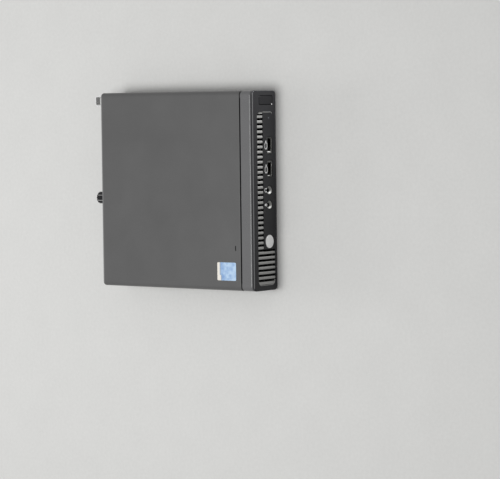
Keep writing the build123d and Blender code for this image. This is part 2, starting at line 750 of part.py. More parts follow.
# -------------------------------------------------------------------------- memory
module_width, module_length, module_thickness = 67.6, 30.0, 1.2
module_x, module_fronts = 48.0, (-62.0, -26.0)
z_module = z_parts + 2.8
socket_depth, socket_tall, socket_grip = 6.0, 4.6, 2.0

with BuildPart() as memory_sockets:
    for front in module_fronts:
        y_bar = front + module_length - socket_grip + socket_depth / 2
        with BuildSketch(Plane.XY.offset(z_parts)):
            with Locations((module_x, y_bar)):
                Rectangle(module_width + 3.0, socket_depth)
        extrude(amount=socket_tall)
        with BuildSketch(front_plane(front)):
            with Locations((module_x, z_module + module_thickness / 2)):
                Rectangle(module_width + 2 * seat_gap, module_thickness + 2 * seat_gap)
        extrude(amount=-(module_length + seat_gap), mode=Mode.SUBTRACT)
memory_sockets.part.label = "memory_sockets"
export_step(memory_sockets.part, "parts/memory_sockets.step")

with BuildPart() as memory_modules:
    for front in module_fronts:
        with BuildSketch(Plane.XY.offset(z_module)):
            with Locations((module_x, front + module_length / 2)):
                Rectangle(module_width, module_length)
        extrude(amount=module_thickness)
        with BuildSketch(Plane.XY.offset(z_module + module_thickness)):
            with Locations((module_x, front + 11.5)):
                with GridLocations(15.5, 0, 4, 1):
                    Rectangle(9.0, 13.0)
        extrude(amount=1.1)
memory_modules.part.label = "memory_modules"
export_step(memory_modules.part, "parts/memory_modules.step")

# ------------------------------------------------------------------- storage drive
drive_width, drive_length, drive_height = 69.85, 100.0, 7.0
drive_x, drive_front = 47.0, -66.0
drive_travel = 8.0
z_cage = z_parts + 14.0
z_drive = z_cage + sheet + slip
cage_inner = drive_width / 2 + slip
leg_x = max(cage_inner + sheet / 2, module_width / 2 + 1.8)  # clear of the memory modules
plug_x = drive_x - drive_width / 2 + 18.9
pin_rows = (-50.0, 14.0)
pin_z = z_drive + 3.5
pin_radius = 1.4

with BuildPart() as drive_cage:
    # tray with two upright sides
    with BuildSketch(front_plane(drive_front - 2.0)):
        with Locations((drive_x, z_cage + 3.6)):
            Rectangle(2 * (cage_inner + sheet), 7.2)
        with Locations((drive_x, z_cage + sheet / 2)):
            Rectangle(2 * leg_x + sheet, sheet)
        with Locations((drive_x, z_cage + sheet + 5.0)):
            Rectangle(2 * cage_inner, 10.0, mode=Mode.SUBTRACT)
    extrude(amount=-(drive_length + 1.0))
    # legs down to the board
    for leg_y in (-44.0, 26.0):
        with BuildSketch(front_plane(leg_y)):
            for side in (-1, 1):
                with Locations((drive_x + side * leg_x, (z_parts + z_cage + sheet) / 2)):
                    Rectangle(sheet, z_cage + sheet - z_parts)
        extrude(amount=9.0)
    # slots for the drive's guide pins, and lightening holes in the floor
    with BuildSketch(Plane.YZ.offset(drive_x - cage_inner - 2)):
        for pin_y in pin_rows:
            with Locations((pin_y - drive_travel / 2, pin_z)):
                SlotOverall(drive_travel + 2 * (pin_radius + slip), 2 * (pin_radius + slip))
    extrude(amount=2 * cage_inner + 4, mode=Mode.SUBTRACT)
    with BuildSketch(Plane.XY.offset(z_cage - 1)):
        with Locations((drive_x, drive_front + drive_length / 2)):
            with GridLocations(drive_width / 2, 44.0, 2, 2):
                RectangleRounded(drive_width / 2 - 10.0, 34.0, 3.0)
    extrude(amount=sheet + 2, mode=Mode.SUBTRACT)
drive_cage.part.label = "drive_cage"
export_step(drive_cage.part, "parts/drive_cage.step")

with BuildPart() as storage_drive:
    with BuildSketch(Plane.XY.offset(z_drive)):
        with Locations((drive_x, drive_front + drive_length / 2)):
            RectangleRounded(drive_width, drive_length, 1.5)
    extrude(amount=drive_height)
    # recess for the plug at the rear end
    with BuildSketch(front_plane(drive_front + drive_length - 5.0)):
        with Locations((plug_x, z_drive + 2.6)):
            Rectangle(33.6, 3.4)
    extrude(amount=-6.0, mode=Mode.SUBTRACT)
storage_drive.part.label = "storage_drive"
export_step(storage_drive.part, "parts/storage_drive.step")

with BuildPart() as drive_pins:
    for side in (-1, 1):
        with BuildSketch(Plane.YZ.offset(drive_x + side * drive_width / 2)):
            for pin_y in pin_rows:
                with Locations((pin_y, pin_z)):
                    Circle(pin_radius)
        extrude(amount=side * (2 * slip + sheet))
        with BuildSketch(Plane.YZ.offset(drive_x + side * (cage_inner + sheet + slip))):
            for pin_y in pin_rows:
                with Locations((pin_y, pin_z)):
                    Circle(2.4)
        extrude(amount=side * 1.0)
drive_pins.part.label = "drive_pins"
export_step(drive_pins.part, "parts/drive_pins.step")

with BuildPart() as drive_connector:
    y_plug = drive_front + drive_length + slip
    with BuildSketch(Plane.XY.offset(z_parts)):
        with Locations((plug_x, y_plug + 2.5)):
            Rectangle(36.0, 5.0)
    extrude(amount=z_drive + 5.0 - z_parts)
    with BuildSketch(front_plane(y_plug)):
        with Locations((plug_x, z_drive + 2.6)):
            Rectangle(33.0, 1.4)
    extrude(amount=4.4)
drive_connector.part.label = "drive_connector"
export_step(drive_connector.part, "parts/drive_connector.step")

# -------------------------------------------------------------------- plug-in cards
card_width = 22.0
z_card = z_parts + 1.4
card_thickness = 0.8
# (centre X, front Y, length, socket at the front end)
ssd_place = (-9.0, -62.0, 80.0)
wireless_place = (65.0, 10.0, 30.0)


cards = {
    # name: place, then each chip's centre from the front end and its length
    "ssd_card": (ssd_place, ((14.0, 14.0), (36.0, 18.0), (60.0, 18.0))),
    "wireless_card": (wireless_place, ((12.0, 13.0),)),
}
for name, ((x, front, length), chips) in cards.items():
    with BuildPart() as card:
        with BuildSketch(Plane.XY.offset(z_card)):
            with Locations((x, front + length / 2)):
                Rectangle(card_width, length)
        extrude(amount=card_thickness)
        with BuildSketch(Plane.XY.offset(z_card + card_thickness)):
            for centre, chip_length in chips:
                with Locations((x, front + centre)):
                    Rectangle(card_width - 7.0, chip_length)
        extrude(amount=1.2)
    card.part.label = name
    export_step(card.part, f"parts/{name}.step")

with BuildPart() as card_sockets:
    for x, front, length in (ssd_place, wireless_place):
        y_bar = front + length + 1.0
        with BuildSketch(Plane.XY.offset(z_parts)):
            with Locations((x, y_bar)):
                Rectangle(card_width + 1.0, 6.0)
        extrude(amount=3.4)
        with BuildSketch(front_plane(front)):
            with Locations((x, z_card + card_thickness / 2)):
                Rectangle(card_width + 0.2, card_thickness + 0.2)
        extrude(amount=-(length + seat_gap), mode=Mode.SUBTRACT)
card_sockets.part.label = "card_sockets"
export_step(card_sockets.part, "parts/card_sockets.step")

with BuildPart() as card_posts:
    # the far end of each card rests on a post
    with BuildSketch(Plane.XY.offset(z_parts)):
        for x, front, _ in (ssd_place, wireless_place):
            with Locations((x, front + 1.5)):
                Circle(2.2)
    extrude(amount=z_card - z_parts)
card_posts.part.label = "card_posts"
export_step(card_posts.part, "parts/card_posts.step")

# ------------------------------------------------------------------ board details
cell_x, cell_y, cell_radius, cell_height = -10.0, 58.0, 10.0, 3.2

with BuildPart() as coin_cell_holder:
    with BuildSketch(Plane.XY.offset(z_parts)):
        with Locations((cell_x, cell_y)):
            Circle(cell_radius + 1.5)
    extrude(amount=3.4)
    with BuildSketch(Plane.XY.offset(z_parts + 0.8)):
        with Locations((cell_x, cell_y)):
            Circle(cell_radius + seat_gap)
        with Locations((cell_x, cell_y - cell_radius)):
            Rectangle(8.0, 8.0)
    extrude(amount=4.0, mode=Mode.SUBTRACT)
coin_cell_holder.part.label = "coin_cell_holder"
export_step(coin_cell_holder.part, "parts/coin_cell_holder.step")

with BuildPart() as coin_cell:
    with BuildSketch(Plane.XY.offset(z_parts + 0.8)):
        with Locations((cell_x, cell_y)):
            Circle(cell_radius)
    extrude(amount=cell_height)
    chamfer(coin_cell.faces().sort_by(Axis.Z)[-1].edges(), 0.3)
coin_cell.part.label = "coin_cell"
export_step(coin_cell.part, "parts/coin_cell.step")

chipset_x, chipset_y = -10.0, 34.0
with BuildPart() as chipset:
    with BuildSketch(Plane.XY.offset(z_parts)):
        with Locations((chipset_x, chipset_y)):
            Rectangle(20.0, 20.0)
    extrude(amount=1.4)
chipset.part.label = "chipset"
export_step(chipset.part, "parts/chipset.step")

with BuildPart() as chipset_heatsink:
    with BuildSketch(front_plane(chipset_y - 11.0)):
        with Locations((chipset_x, z_parts + 1.4 + 0.8)):
            Rectangle(22.0, 1.6)
        with Locations((chipset_x, z_parts + 3.0 + 3.0)):
            with GridLocations(3.5, 0, 7, 1):
                Rectangle(1.0, 6.0)
    extrude(amount=-22.0)
chipset_heatsink.part.label = "chipset_heatsink"
export_step(chipset_heatsink.part, "parts/chipset_heatsink.step")

with BuildPart() as power_chokes:
    with BuildSketch(Plane.XY.offset(z_parts)):
        with Locations((-26.0, -4.0)):
            with GridLocations(0, 9.0, 1, 5):
                Rectangle(6.5, 6.5)
    extrude(amount=4.5)
power_chokes.part.label = "power_chokes"
export_step(power_chokes.part, "parts/power_chokes.step")

with BuildPart() as capacitors:
    with BuildSketch(Plane.XY.offset(z_parts)):
        with Locations((62.0, 56.0)):
            with GridLocations(8.0, 9.0, 2, 2):
                Circle(3.15)
    extrude(amount=6.0)
capacitors.part.label = "capacitors"
export_step(capacitors.part, "parts/capacitors.step")

speaker_size = (24.0, 12.0, 15.0)
with BuildPart() as speaker:
    with BuildSketch(Plane.XY.offset(z_floor)):
        with Locations((-68.0, -72.0)):
            RectangleRounded(speaker_size[0], speaker_size[1], 2.0)
    extrude(amount=speaker_size[2])
    with BuildSketch(front_plane(-72.0 - speaker_size[1] / 2)):
        with Locations((-68.0, z_floor + speaker_size[2] / 2)):
            Ellipse(9.5, 5.5)
    extrude(amount=-1.5, mode=Mode.SUBTRACT)
speaker.part.label = "speaker"
export_step(speaker.part, "parts/speaker.step")

# ---------------------------------------------------------------- front connectors
usb_shell = (13.4, 6.3, 15.0)
usb_wall = 0.4
usb_mouth = y_front + 1.2
lip_length, lip_angle = 0.8, 24.0  # flared lip round the mouth

with BuildPart() as front_usb_shells:
    for x in front_usb_x:
        with BuildSketch(front_plane(usb_mouth)):
            with Locations((x, z_parts + usb_shell[1] / 2)):
                Rectangle(usb_shell[0], usb_shell[1])
        extrude(amount=-usb_shell[2])
        with BuildSketch(front_plane(usb_mouth)):
            with Locations((x, z_parts + usb_shell[1] / 2)):
                Rectangle(usb_shell[0] - 2 * usb_wall, usb_shell[1] - 2 * usb_wall)
        extrude(amount=-(usb_shell[2] - 1.5), mode=Mode.SUBTRACT)
        for shrink, mode in ((0, Mode.ADD), (2 * usb_wall, Mode.SUBTRACT)):
            with BuildSketch(front_plane(usb_mouth)):
                with Locations((x, z_parts + usb_shell[1] / 2)):
                    Rectangle(usb_shell[0] - shrink, usb_shell[1] - shrink)
            extrude(amount=lip_length, taper=-lip_angle, mode=mode)
front_usb_shells.part.label = "front_usb_shells"
export_step(front_usb_shells.part, "parts/front_usb_shells.step")

with BuildPart() as front_usb_tongues:
    for x in front_usb_x:
        with BuildSketch(front_plane(usb_mouth + 1.0)):
            with Locations((x, z_parts + usb_shell[1] - 2.1)):
                Rectangle(11.0, 1.9)
        extrude(amount=-(usb_shell[2] - 2.5))
front_usb_tongues.part.label = "front_usb_tongues"
export_step(front_usb_tongues.part, "parts/front_usb_tongues.step")

jack_depth = 13.0
with BuildPart() as audio_jacks:
    for x in jack_x:
        with BuildSketch(front_plane(y_front + 3.8)):
            with Locations((x, (z_parts + jack_z + jack_ring + 0.4) / 2)):
                Rectangle(8.6, jack_z + jack_ring + 0.4 - z_parts)
        extrude(amount=-(jack_depth - 2.0))
        with BuildSketch(front_plane(y_front + 3.8)):
            with Locations((x, jack_z)):
                Circle(jack_ring)
        extrude(amount=3.4)
        with BuildSketch(front_plane(y_front)):
            with Locations((x, jack_z)):
                Circle(jack_bore)
        extrude(amount=-jack_depth, mode=Mode.SUBTRACT)
    # the mouth of each bore is a funnel
    mouths = audio_jacks.faces().group_by(Axis.Y)[0].edges().group_by(SortBy.RADIUS)[0]
    chamfer(mouths, jack_funnel)
audio_jacks.part.label = "audio_jacks"
export_step(audio_jacks.part, "parts/audio_jacks.step")

# ----------------------------------------------------------------- rear connectors
port_rows = (3.6, 11.9)  # centre heights of the two ports in a stack
port_hole = (12.4, 5.1)
y_stack = y_connector - usb_stack_depth

with BuildPart() as rear_usb_shells:
    for x in rear_usb_x:
        with BuildSketch(front_plane(y_stack)):
            with Locations((x, z_parts + usb_stack[1] / 2)):
                Rectangle(*usb_stack)
        extrude(amount=-usb_stack_depth)
        with BuildSketch(front_plane(y_stack + 3.0)):
            for row in port_rows:
                with Locations((x, z_parts + row)):
                    Rectangle(*port_hole)
        extrude(amount=-usb_stack_depth, mode=Mode.SUBTRACT)
rear_usb_shells.part.label = "rear_usb_shells"
export_step(rear_usb_shells.part, "parts/rear_usb_shells.step")

with BuildPart() as rear_usb_tongues:
    for x in rear_usb_x:
        with BuildSketch(front_plane(y_stack + 3.0)):
            for row in port_rows:
                with Locations((x, z_parts + row + 1.0)):
                    Rectangle(11.0, 1.9)
        extrude(amount=-(usb_stack_depth - 4.5))
rear_usb_tongues.part.label = "rear_usb_tongues"
export_step(rear_usb_tongues.part, "parts/rear_usb_tongues.step")

network_body = (15.8, 13.6, 16.0)
network_port = (11.8, 8.0, 13.0)
network_port_z = z_parts + 2.2 + network_port[1] / 2
with BuildPart() as network_socket:
    with BuildSketch(front_plane(y_connector - network_body[2])):
        with Locations((network_x, z_parts + network_body[1] / 2)):
            Rectangle(network_body[0], network_body[1])
    extrude(amount=-network_body[2])
    with BuildSketch(front_plane(y_connector - network_port[2])):
        with Locations((network_x, network_port_z)):
            Rectangle(network_port[0], network_port[1])
        # steps for the plug's latch
        with Locations((network_x, network_port_z + network_port[1] / 2 + 0.7)):
            Rectangle(6.2, 1.6)
    extrude(amount=-network_body[2], mode=Mode.SUBTRACT)
network_socket.part.label = "network_socket"
export_step(network_socket.part, "parts/network_socket.step")

vga_z = z_parts + vga_flange[1] / 2
with BuildPart() as vga_connector:
    with BuildSketch(front_plane(y_wall_in - 0.8)):
        with Locations((vga_x, vga_z)):
            RectangleRounded(*vga_flange, 1.5)
    extrude(amount=-0.8)
    with BuildSketch(front_plane(y_wall_in - 9.0)):
        with Locations((vga_x, vga_z)):
            Rectangle(vga_flange[0], vga_flange[1])
    extrude(amount=-8.2)
    with BuildSketch(front_plane(y_wall_in)):
        with Locations((vga_x, vga_z)):
            Trapezoid(16.8, 8.2, 80)
            Trapezoid(15.8, 7.2, 80, mode=Mode.SUBTRACT)
    extrude(amount=-6.0)
    with BuildSketch(front_plane(y_wall_in)):
        with Locations((vga_x, vga_z)):
            Trapezoid(14.6, 6.2, 80)
            # three rows of five contacts
            for row in range(3):
                with Locations((0, 1.9 * (1 - row))):
                    with GridLocations(2.3, 0, 5, 1):
                        Rectangle(0.7, 0.7, mode=Mode.SUBTRACT)
    extrude(amount=-4.8)
vga_connector.part.label = "vga_connector"
export_step(vga_connector.part, "parts/vga_connector.step")

with BuildPart() as vga_jackscrews:
    with BuildSketch(front_plane(y_wall_in)):
        with Locations((vga_x, vga_z)):
            with GridLocations(25.0, 0, 2, 1):
                Circle(1.55)
    extrude(amount=-sheet)
    with BuildSketch(front_plane(y_wall)):
        with Locations((vga_x, vga_z)):
            with GridLocations(25.0, 0, 2, 1):
                RegularPolygon(2.8, 6)
                Circle(1.2, mode=Mode.SUBTRACT)
    extrude(amount=-5.0)
vga_jackscrews.part.label = "vga_jackscrews"
export_step(vga_jackscrews.part, "parts/vga_jackscrews.step")

display_depth, display_wall = 15.0, 0.4
with BuildPart() as display_shells:
    for x in display_x:
        for shrink, start, mode in ((0, 0, Mode.ADD), (2 * display_wall, 2.0, Mode.SUBTRACT)):
            with BuildSketch(front_plane(y_connector - display_depth + start)) as outline:
                with Locations((x, z_parts + display_body[1] / 2)):
                    Rectangle(display_body[0] - shrink, display_body[1] - shrink)
                lower_left = outline.vertices().group_by(Axis.Y)[0].sort_by(Axis.X)[0]
                chamfer(lower_left, 1.8)
            extrude(amount=-display_depth, mode=mode)
display_shells.part.label = "display_shells"
export_step(display_shells.part, "parts/display_shells.step")

with BuildPart() as display_tongues:
    for x in display_x:
        with BuildSketch(front_plane(y_connector - display_depth + 2.0)):
            with Locations((x, z_parts + display_body[1] / 2 + 0.5)):
                Rectangle(12.5, 1.2)
        extrude(amount=-(display_depth - 4.0))
display_tongues.part.label = "display_tongues"
export_step(display_tongues.part, "parts/display_tongues.step")

inlet_body = (9.0, 11.0, 14.0)
with BuildPart() as power_inlet:
    inlet_z = z_parts + inlet_body[1] / 2
    with BuildSketch(front_plane(y_connector - inlet_body[2])):
        with Locations((inlet_x, inlet_z)):
            Rectangle(inlet_body[0], inlet_body[1])
    extrude(amount=-inlet_body[2])
    with BuildSketch(front_plane(y_connector - 10.5)):
        with Locations((inlet_x, inlet_z)):
            Circle(3.7)
            Circle(0.8, mode=Mode.SUBTRACT)
    extrude(amount=-11.0, mode=Mode.SUBTRACT)
power_inlet.part.label = "power_inlet"
export_step(power_inlet.part, "parts/power_inlet.step")
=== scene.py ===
"""Looks of a one-litre desktop computer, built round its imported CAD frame.

Metres, in the frame's own axes: +Z up through the cover, the front panel faces -Y, and
+X is on the right when looking at the front.  Prints, contacts and small board parts are
new pieces; every rigid part keeps its CAD mesh and gets a finish here.
"""

from math import cos, pi, radians, sin

import bpy
import numpy as np
from mathutils import Matrix, Vector


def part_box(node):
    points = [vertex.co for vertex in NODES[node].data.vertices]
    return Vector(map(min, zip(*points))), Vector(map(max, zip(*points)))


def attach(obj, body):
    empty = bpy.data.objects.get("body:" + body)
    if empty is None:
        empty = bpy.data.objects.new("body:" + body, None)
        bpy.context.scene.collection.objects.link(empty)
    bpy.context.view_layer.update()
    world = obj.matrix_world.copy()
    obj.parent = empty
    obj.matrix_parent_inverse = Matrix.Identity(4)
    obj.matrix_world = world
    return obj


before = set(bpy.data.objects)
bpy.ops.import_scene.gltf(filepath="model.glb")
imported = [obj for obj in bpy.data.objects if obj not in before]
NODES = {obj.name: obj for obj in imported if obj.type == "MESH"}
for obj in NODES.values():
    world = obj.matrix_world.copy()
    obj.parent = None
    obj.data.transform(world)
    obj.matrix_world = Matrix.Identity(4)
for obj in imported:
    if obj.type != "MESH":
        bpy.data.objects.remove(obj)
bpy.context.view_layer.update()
MM = 0.001


def box(node):
    """Lowest and highest corner of a node, as numpy rows in metres."""
    return np.array(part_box(node))


# ------------------------------------------------------------------ colours and nodes


def srgb(code):
    """A hex colour such as "6a6a6b" turned from sRGB to linear, with alpha 1."""
    channels = np.array([int(code[i:i + 2], 16) / 255 for i in (0, 2, 4)])
    low = channels / 12.92
    high = ((channels + 0.055) / 1.055) ** 2.4
    return (*np.where(channels <= 0.04045, low, high), 1.0)


def add(tree, kind, settings=None, stops=(), **links):
    """Adds one node. settings name its properties or its input sockets, stops are the places and
    colours of its ramp, and links name the output that feeds an input. An input goes by its
    name, with underscores for spaces, or by its identifier where two have one name."""
    node = tree.nodes.new(kind)
    settings = settings or {}
    for name in settings:
        if hasattr(node, name):
            setattr(node, name, settings[name])
    sockets = {s.identifier: s for s in node.inputs}
    sockets.update({s.name.replace(" ", "_"): s for s in reversed(node.inputs) if s.enabled})
    for name in settings:
        if name in sockets:
            sockets[name].default_value = settings[name]
    for number, (position, code) in enumerate(stops):
        node.color_ramp.elements[number].position = position
        node.color_ramp.elements[number].color = srgb(code)
    for name, source in links.items():
        tree.links.new(source, sockets[name])
    return node


def shader(name, **settings):
    """A new material with one Principled shader and Object coordinates to draw on."""
    material = bpy.data.materials.new(name)
    material.use_nodes = True
    tree = material.node_tree
    tree.nodes.clear()
    surface = add(tree, "ShaderNodeBsdfPrincipled", settings)
    out = add(tree, "ShaderNodeOutputMaterial", Surface=surface.outputs["BSDF"])
    out.target = "ALL"
    place = add(tree, "ShaderNodeTexCoord").outputs["Object"]
    return material, tree, surface, place


def dress(tree, surface, pattern, height, colours, rough, depth_mm, strength):
    """Leads a surface by patterns from 0 to 1: pattern takes its colour from the first to the
    second between 0.3 and 0.7, and its roughness from low to high, and height gives it a relief
    depth_mm deep."""
    colour = add(tree, "ShaderNodeValToRGB", stops=zip((0.3, 0.7), colours), Fac=pattern)
    gloss = add(tree, "ShaderNodeMapRange", {"To_Min": rough[0], "To_Max": rough[1]}, Value=pattern)
    relief = add(tree, "ShaderNodeBump", {"Distance": depth_mm * MM, "Strength": strength}, Height=height)
    tree.links.new(colour.outputs["Color"], surface.inputs["Base Color"])
    tree.links.new(gloss.outputs["Result"], surface.inputs["Roughness"])
    tree.links.new(relief.outputs["Normal"], surface.inputs["Normal"])


CLOUD_MM = 35.0  # how far apart the broad, faint clouds of a coat lie


def grained(name, dark, light, grain_mm, depth_mm, rough, metallic=0.0, **settings):
    """A surface whose colour, gloss and relief vary together with a fine grain and a broad
    cloud: paint, moulded plastic, rubber and plated metal are all made with it."""
    material, tree, surface, place = shader(name, Metallic=metallic, **settings)
    fine = add(tree, "ShaderNodeTexNoise", {"Scale": 1 / (grain_mm * MM), "Detail": 3.0}, Vector=place)
    cloud = add(tree, "ShaderNodeTexNoise", {"Scale": 1 / (CLOUD_MM * MM), "Detail": 2.0}, Vector=place)
    mixed = add(tree, "ShaderNodeMix", {"data_type": "FLOAT", "Factor": 0.35},
                A=fine.outputs["Fac"], B=cloud.outputs["Fac"])
    dress(tree, surface, mixed.outputs["Result"], fine.outputs["Fac"], (dark, light), rough, depth_mm, 0.35)
    return material


def brushed(name, dark, light, axis, rough, metallic=1.0, line_mm=0.25):
    """Rolled or brushed metal: fine lines along one axis, from noise stretched along it."""
    material, tree, surface, place = shader(name, Metallic=metallic)
    scale = [1.0, 1.0, 1.0]
    scale["XYZ".index(axis)] = 0.03
    stretched = add(tree, "ShaderNodeMapping", {"Scale": scale}, Vector=place)
    lines = add(tree, "ShaderNodeTexNoise", {"Scale": 1 / (line_mm * MM), "Detail": 3.0, "Roughness": 0.6},
                Vector=stretched.outputs["Vector"]).outputs["Fac"]
    dress(tree, surface, lines, lines, (dark, light), rough, 0.01, 0.3)
    return material


# ---------------------------------------------------------------------- the finishes

MATT = {"Specular_IOR_Level": 0.2}  # grained plastic throws back little light
SATIN = {"Specular_IOR_Level": 0.4}  # powder coat has a soft shine on its bends
GLOSSY = {"Specular_IOR_Level": 0.55}  # the rail is bent tighter and shines more

FINISHES = {
    # powder coat on steel: a matt dark grey with an orange-peel grain of about half a millimetre
    "cover_paint": grained("cover_powder_coat", "595959", "646464", 0.55, 0.03, (0.32, 0.42), **SATIN),
    # the same coat on the front rail, a little lighter
    "rail_paint": grained("rail_powder_coat", "656566", "707071", 0.55, 0.03, (0.24, 0.32), **GLOSSY),
    # the same coat, thinner, on the tray
    "tray_paint": grained("tray_powder_coat", "4c4c4d", "565657", 0.55, 0.03, (0.45, 0.6), **MATT),
    # moulded ABS with a fine spark-eroded grain: black, almost without shine
    "bezel_plastic": grained("bezel_moulded_abs", "202022", "29292b", 0.35, 0.02, (0.36, 0.48), **MATT),
    # the port panel is the same ABS, moulded a little smoother
    "panel_plastic": grained("panel_moulded_abs", "1b1b1d", "242426", 0.3, 0.012, (0.32, 0.42), **MATT),
    # the button is the same ABS, a little smoother from fingers
    "button_plastic": grained("button_satin_abs", "171719", "1f1f21", 0.3, 0.01, (0.3, 0.4), **MATT),
    # painted ABS: silver-grey metallic lacquer, with the flake as a faint sparkle
    "grille_lacquer": grained("grille_silver_lacquer", "7e7e7d", "969694", 0.15, 0.008, (0.3, 0.4), 0.2),
    # near-black pads behind the bars, a sheet of painted shade where the grille opens into the case
    "dust_foam": grained("grille_dust_foam", "060606", "0e0e0e", 0.9, 0.2, (0.9, 1.0), **MATT),
    # soft rubber, matt, a little dusty
    "foot_rubber": grained("foot_rubber", "171717", "232323", 0.8, 0.05, (0.75, 0.9)),
    # black nickel on turned steel: near black, bright only where an edge catches the light
    "black_nickel": grained("screw_black_nickel", "343436", "444446", 0.3, 0.008, (0.24, 0.34), 0.7),
    # zinc plate: pale, with crystals too fine to see
    "zinc_steel": brushed("loop_zinc_plate", "dadada", "f0f0ef", "X", (0.35, 0.5), 0.2),
    # nickel plate on drawn steel shells, fine lines along the shell
    "nickel_steel": brushed("shell_nickel_plate", "b9b9b6", "dadad6", "Y", (0.18, 0.3)),
    # the same shells in the front panel, duller
    "dull_nickel": brushed("shell_dull_nickel", "7a7a78", "989896", "Y", (0.22, 0.34)),
    # tinned spring tabs inside the front sockets, and the pale ribs painted as highlights on the screw's
    # grip: pale, satin
    "tinned_spring": grained("spring_satin_tin", "bcbcba", "d8d8d6", 0.3, 0.004, (0.4, 0.55), 0.45),
    # nickel lining of the jacks' mouths, duller and darker with use
    "jack_lining": grained("jack_dull_nickel", "8c8c8a", "aaaaa8", 0.3, 0.004, (0.38, 0.52), 0.45),
    # nickel on small turned parts
    "turned_nickel": grained("turned_nickel_plate", "b6b6b2", "cfcfcb", 0.4, 0.005, (0.2, 0.32), 1.0),
    # gold flash on contacts
    "gold": grained("contact_gold_flash", "b98f45", "d9b36a", 0.4, 0.002, (0.2, 0.3), 1.0),
    # nylon and LCP mouldings inside connectors
    "connector_plastic": grained("connector_black_nylon", "131314", "1d1d1e", 0.4, 0.01, (0.45, 0.6)),
    # the video connector's blue moulding
    "video_blue": grained("video_blue_nylon", "1c3f86", "254b96", 0.4, 0.01, (0.4, 0.5)),
    # aluminium, extruded, with draw lines along its length
    "extruded_aluminium": brushed("sink_extruded_aluminium", "a9abad", "c6c8ca", "Y", (0.3, 0.45)),
    # stamped aluminium case of the drive
    "drive_aluminium": brushed("drive_stamped_aluminium", "85878a", "9a9c9f", "Y", (0.35, 0.5)),
    # solder mask over glass fibre: deep green gloss with a faint weave
    "solder_mask": grained("board_solder_mask", "0f3d22", "16502e", 1.2, 0.01, (0.28, 0.4)),
    # moulded epoxy of chip packages
    "chip_epoxy": grained("chip_moulded_epoxy", "1a1a1b", "262627", 0.25, 0.008, (0.5, 0.65)),
    # ceramic of small capacitors, tan
    "ceramic": grained("capacitor_ceramic", "7a6a52", "8d7c62", 0.3, 0.005, (0.5, 0.6)),
    # bright tin on solder joints and leads
    "tin": grained("lead_bright_tin", "a8a8a6", "c2c2c0", 0.3, 0.004, (0.25, 0.35), 1.0),
    # smoked acrylic light pipe, dark until it is lit
    "light_pipe": grained("light_pipe_smoked_acrylic", "3c3f42", "4a4d50", 0.3, 0.002, (0.2, 0.3)),
    # lenses of the network port's lamps
    "amber_lens": grained("lamp_amber_lens", "a86a14", "bd7c20", 0.3, 0.002, (0.2, 0.3)),
    "green_lens": grained("lamp_green_lens", "3f7d35", "4c8f41", 0.3, 0.002, (0.2, 0.3)),
    # spun blank disc in the front panel, satin silver
    "badge_silver": brushed("badge_satin_silver", "cfcfcf", "e6e6e6", "X", (0.3, 0.42), 0.5, 0.15),
    # screen-printed ink, matt and slightly uneven
    "print_ink": grained("front_screen_print", "c2c2c2", "dadada", 0.25, 0.002, (0.5, 0.65)),
}

NODE_FINISH = {
    "cover_paint": ["access_panel"],
    "rail_paint": ["front_rail"],
    "tray_paint": ["chassis"],
    "bezel_plastic": ["front_bezel", "antenna_cover"],
    "panel_plastic": ["port_panel"],
    "button_plastic": ["power_button"],
    "grille_lacquer": ["vent_grille"],
    "foot_rubber": ["rubber_feet"],
    "black_nickel": ["thumbscrew", "thumbscrew_washer"],
    "zinc_steel": ["padlock_loop", "drive_cage"],
    "nickel_steel": ["rear_usb_shells", "display_shells", "network_socket"],
    "dull_nickel": ["front_usb_shells"],
    "turned_nickel": ["vga_jackscrews", "board_screws", "heatsink_screws", "drive_pins", "coin_cell",
                      "board_standoffs", "card_posts", "processor"],
    "connector_plastic": ["front_usb_tongues", "rear_usb_tongues", "display_tongues", "audio_jacks",
                          "power_inlet", "memory_sockets", "card_sockets", "drive_connector",
                          "coin_cell_holder", "processor_socket", "power_switch", "fan_housing",
                          "fan_rotor", "fan_motor", "speaker", "power_chokes"],
    "video_blue": ["vga_connector"],
    "extruded_aluminium": ["heatsink_base", "heatsink_fins", "chipset_heatsink", "capacitors"],
    "drive_aluminium": ["storage_drive"],
    "solder_mask": ["system_board", "memory_modules", "ssd_card", "wireless_card"],
    "chip_epoxy": ["chipset"],
    "light_pipe": ["activity_light"],
    "badge_silver": ["badge_disc"],
}

for finish, names in NODE_FINISH.items():
    for name in names:
        NODES[name].data.materials.clear()
        NODES[name].data.materials.append(FINISHES[finish])


def overlay(finish, code, factor):
    """Lays a second colour over a finish's own, by a factor from 0 to 1."""
    tree = FINISHES[finish].node_tree
    surface = tree.nodes["Principled BSDF"]
    own = surface.inputs["Base Color"].links[0].from_socket
    both = add(tree, "ShaderNodeMix", {"data_type": "RGBA", "B": srgb(code)}, Factor=factor, A=own)
    tree.links.new(both.outputs["Result"], surface.inputs["Base Color"])


def fade_to_shade(finish, code, start, end):
    """Fades a finish's colour to the colour code between the levels start and end along Y, fully
    so behind end: painted shade in a recess."""
    tree = FINISHES[finish].node_tree
    spot = add(tree, "ShaderNodeSeparateXYZ", Vector=tree.nodes["Texture Coordinate"].outputs["Object"])
    behind = add(tree, "ShaderNodeMapRange", {"From_Min": start, "From_Max": end}, Value=spot.outputs["Y"])
    overlay(finish, code, behind.outputs["Result"])


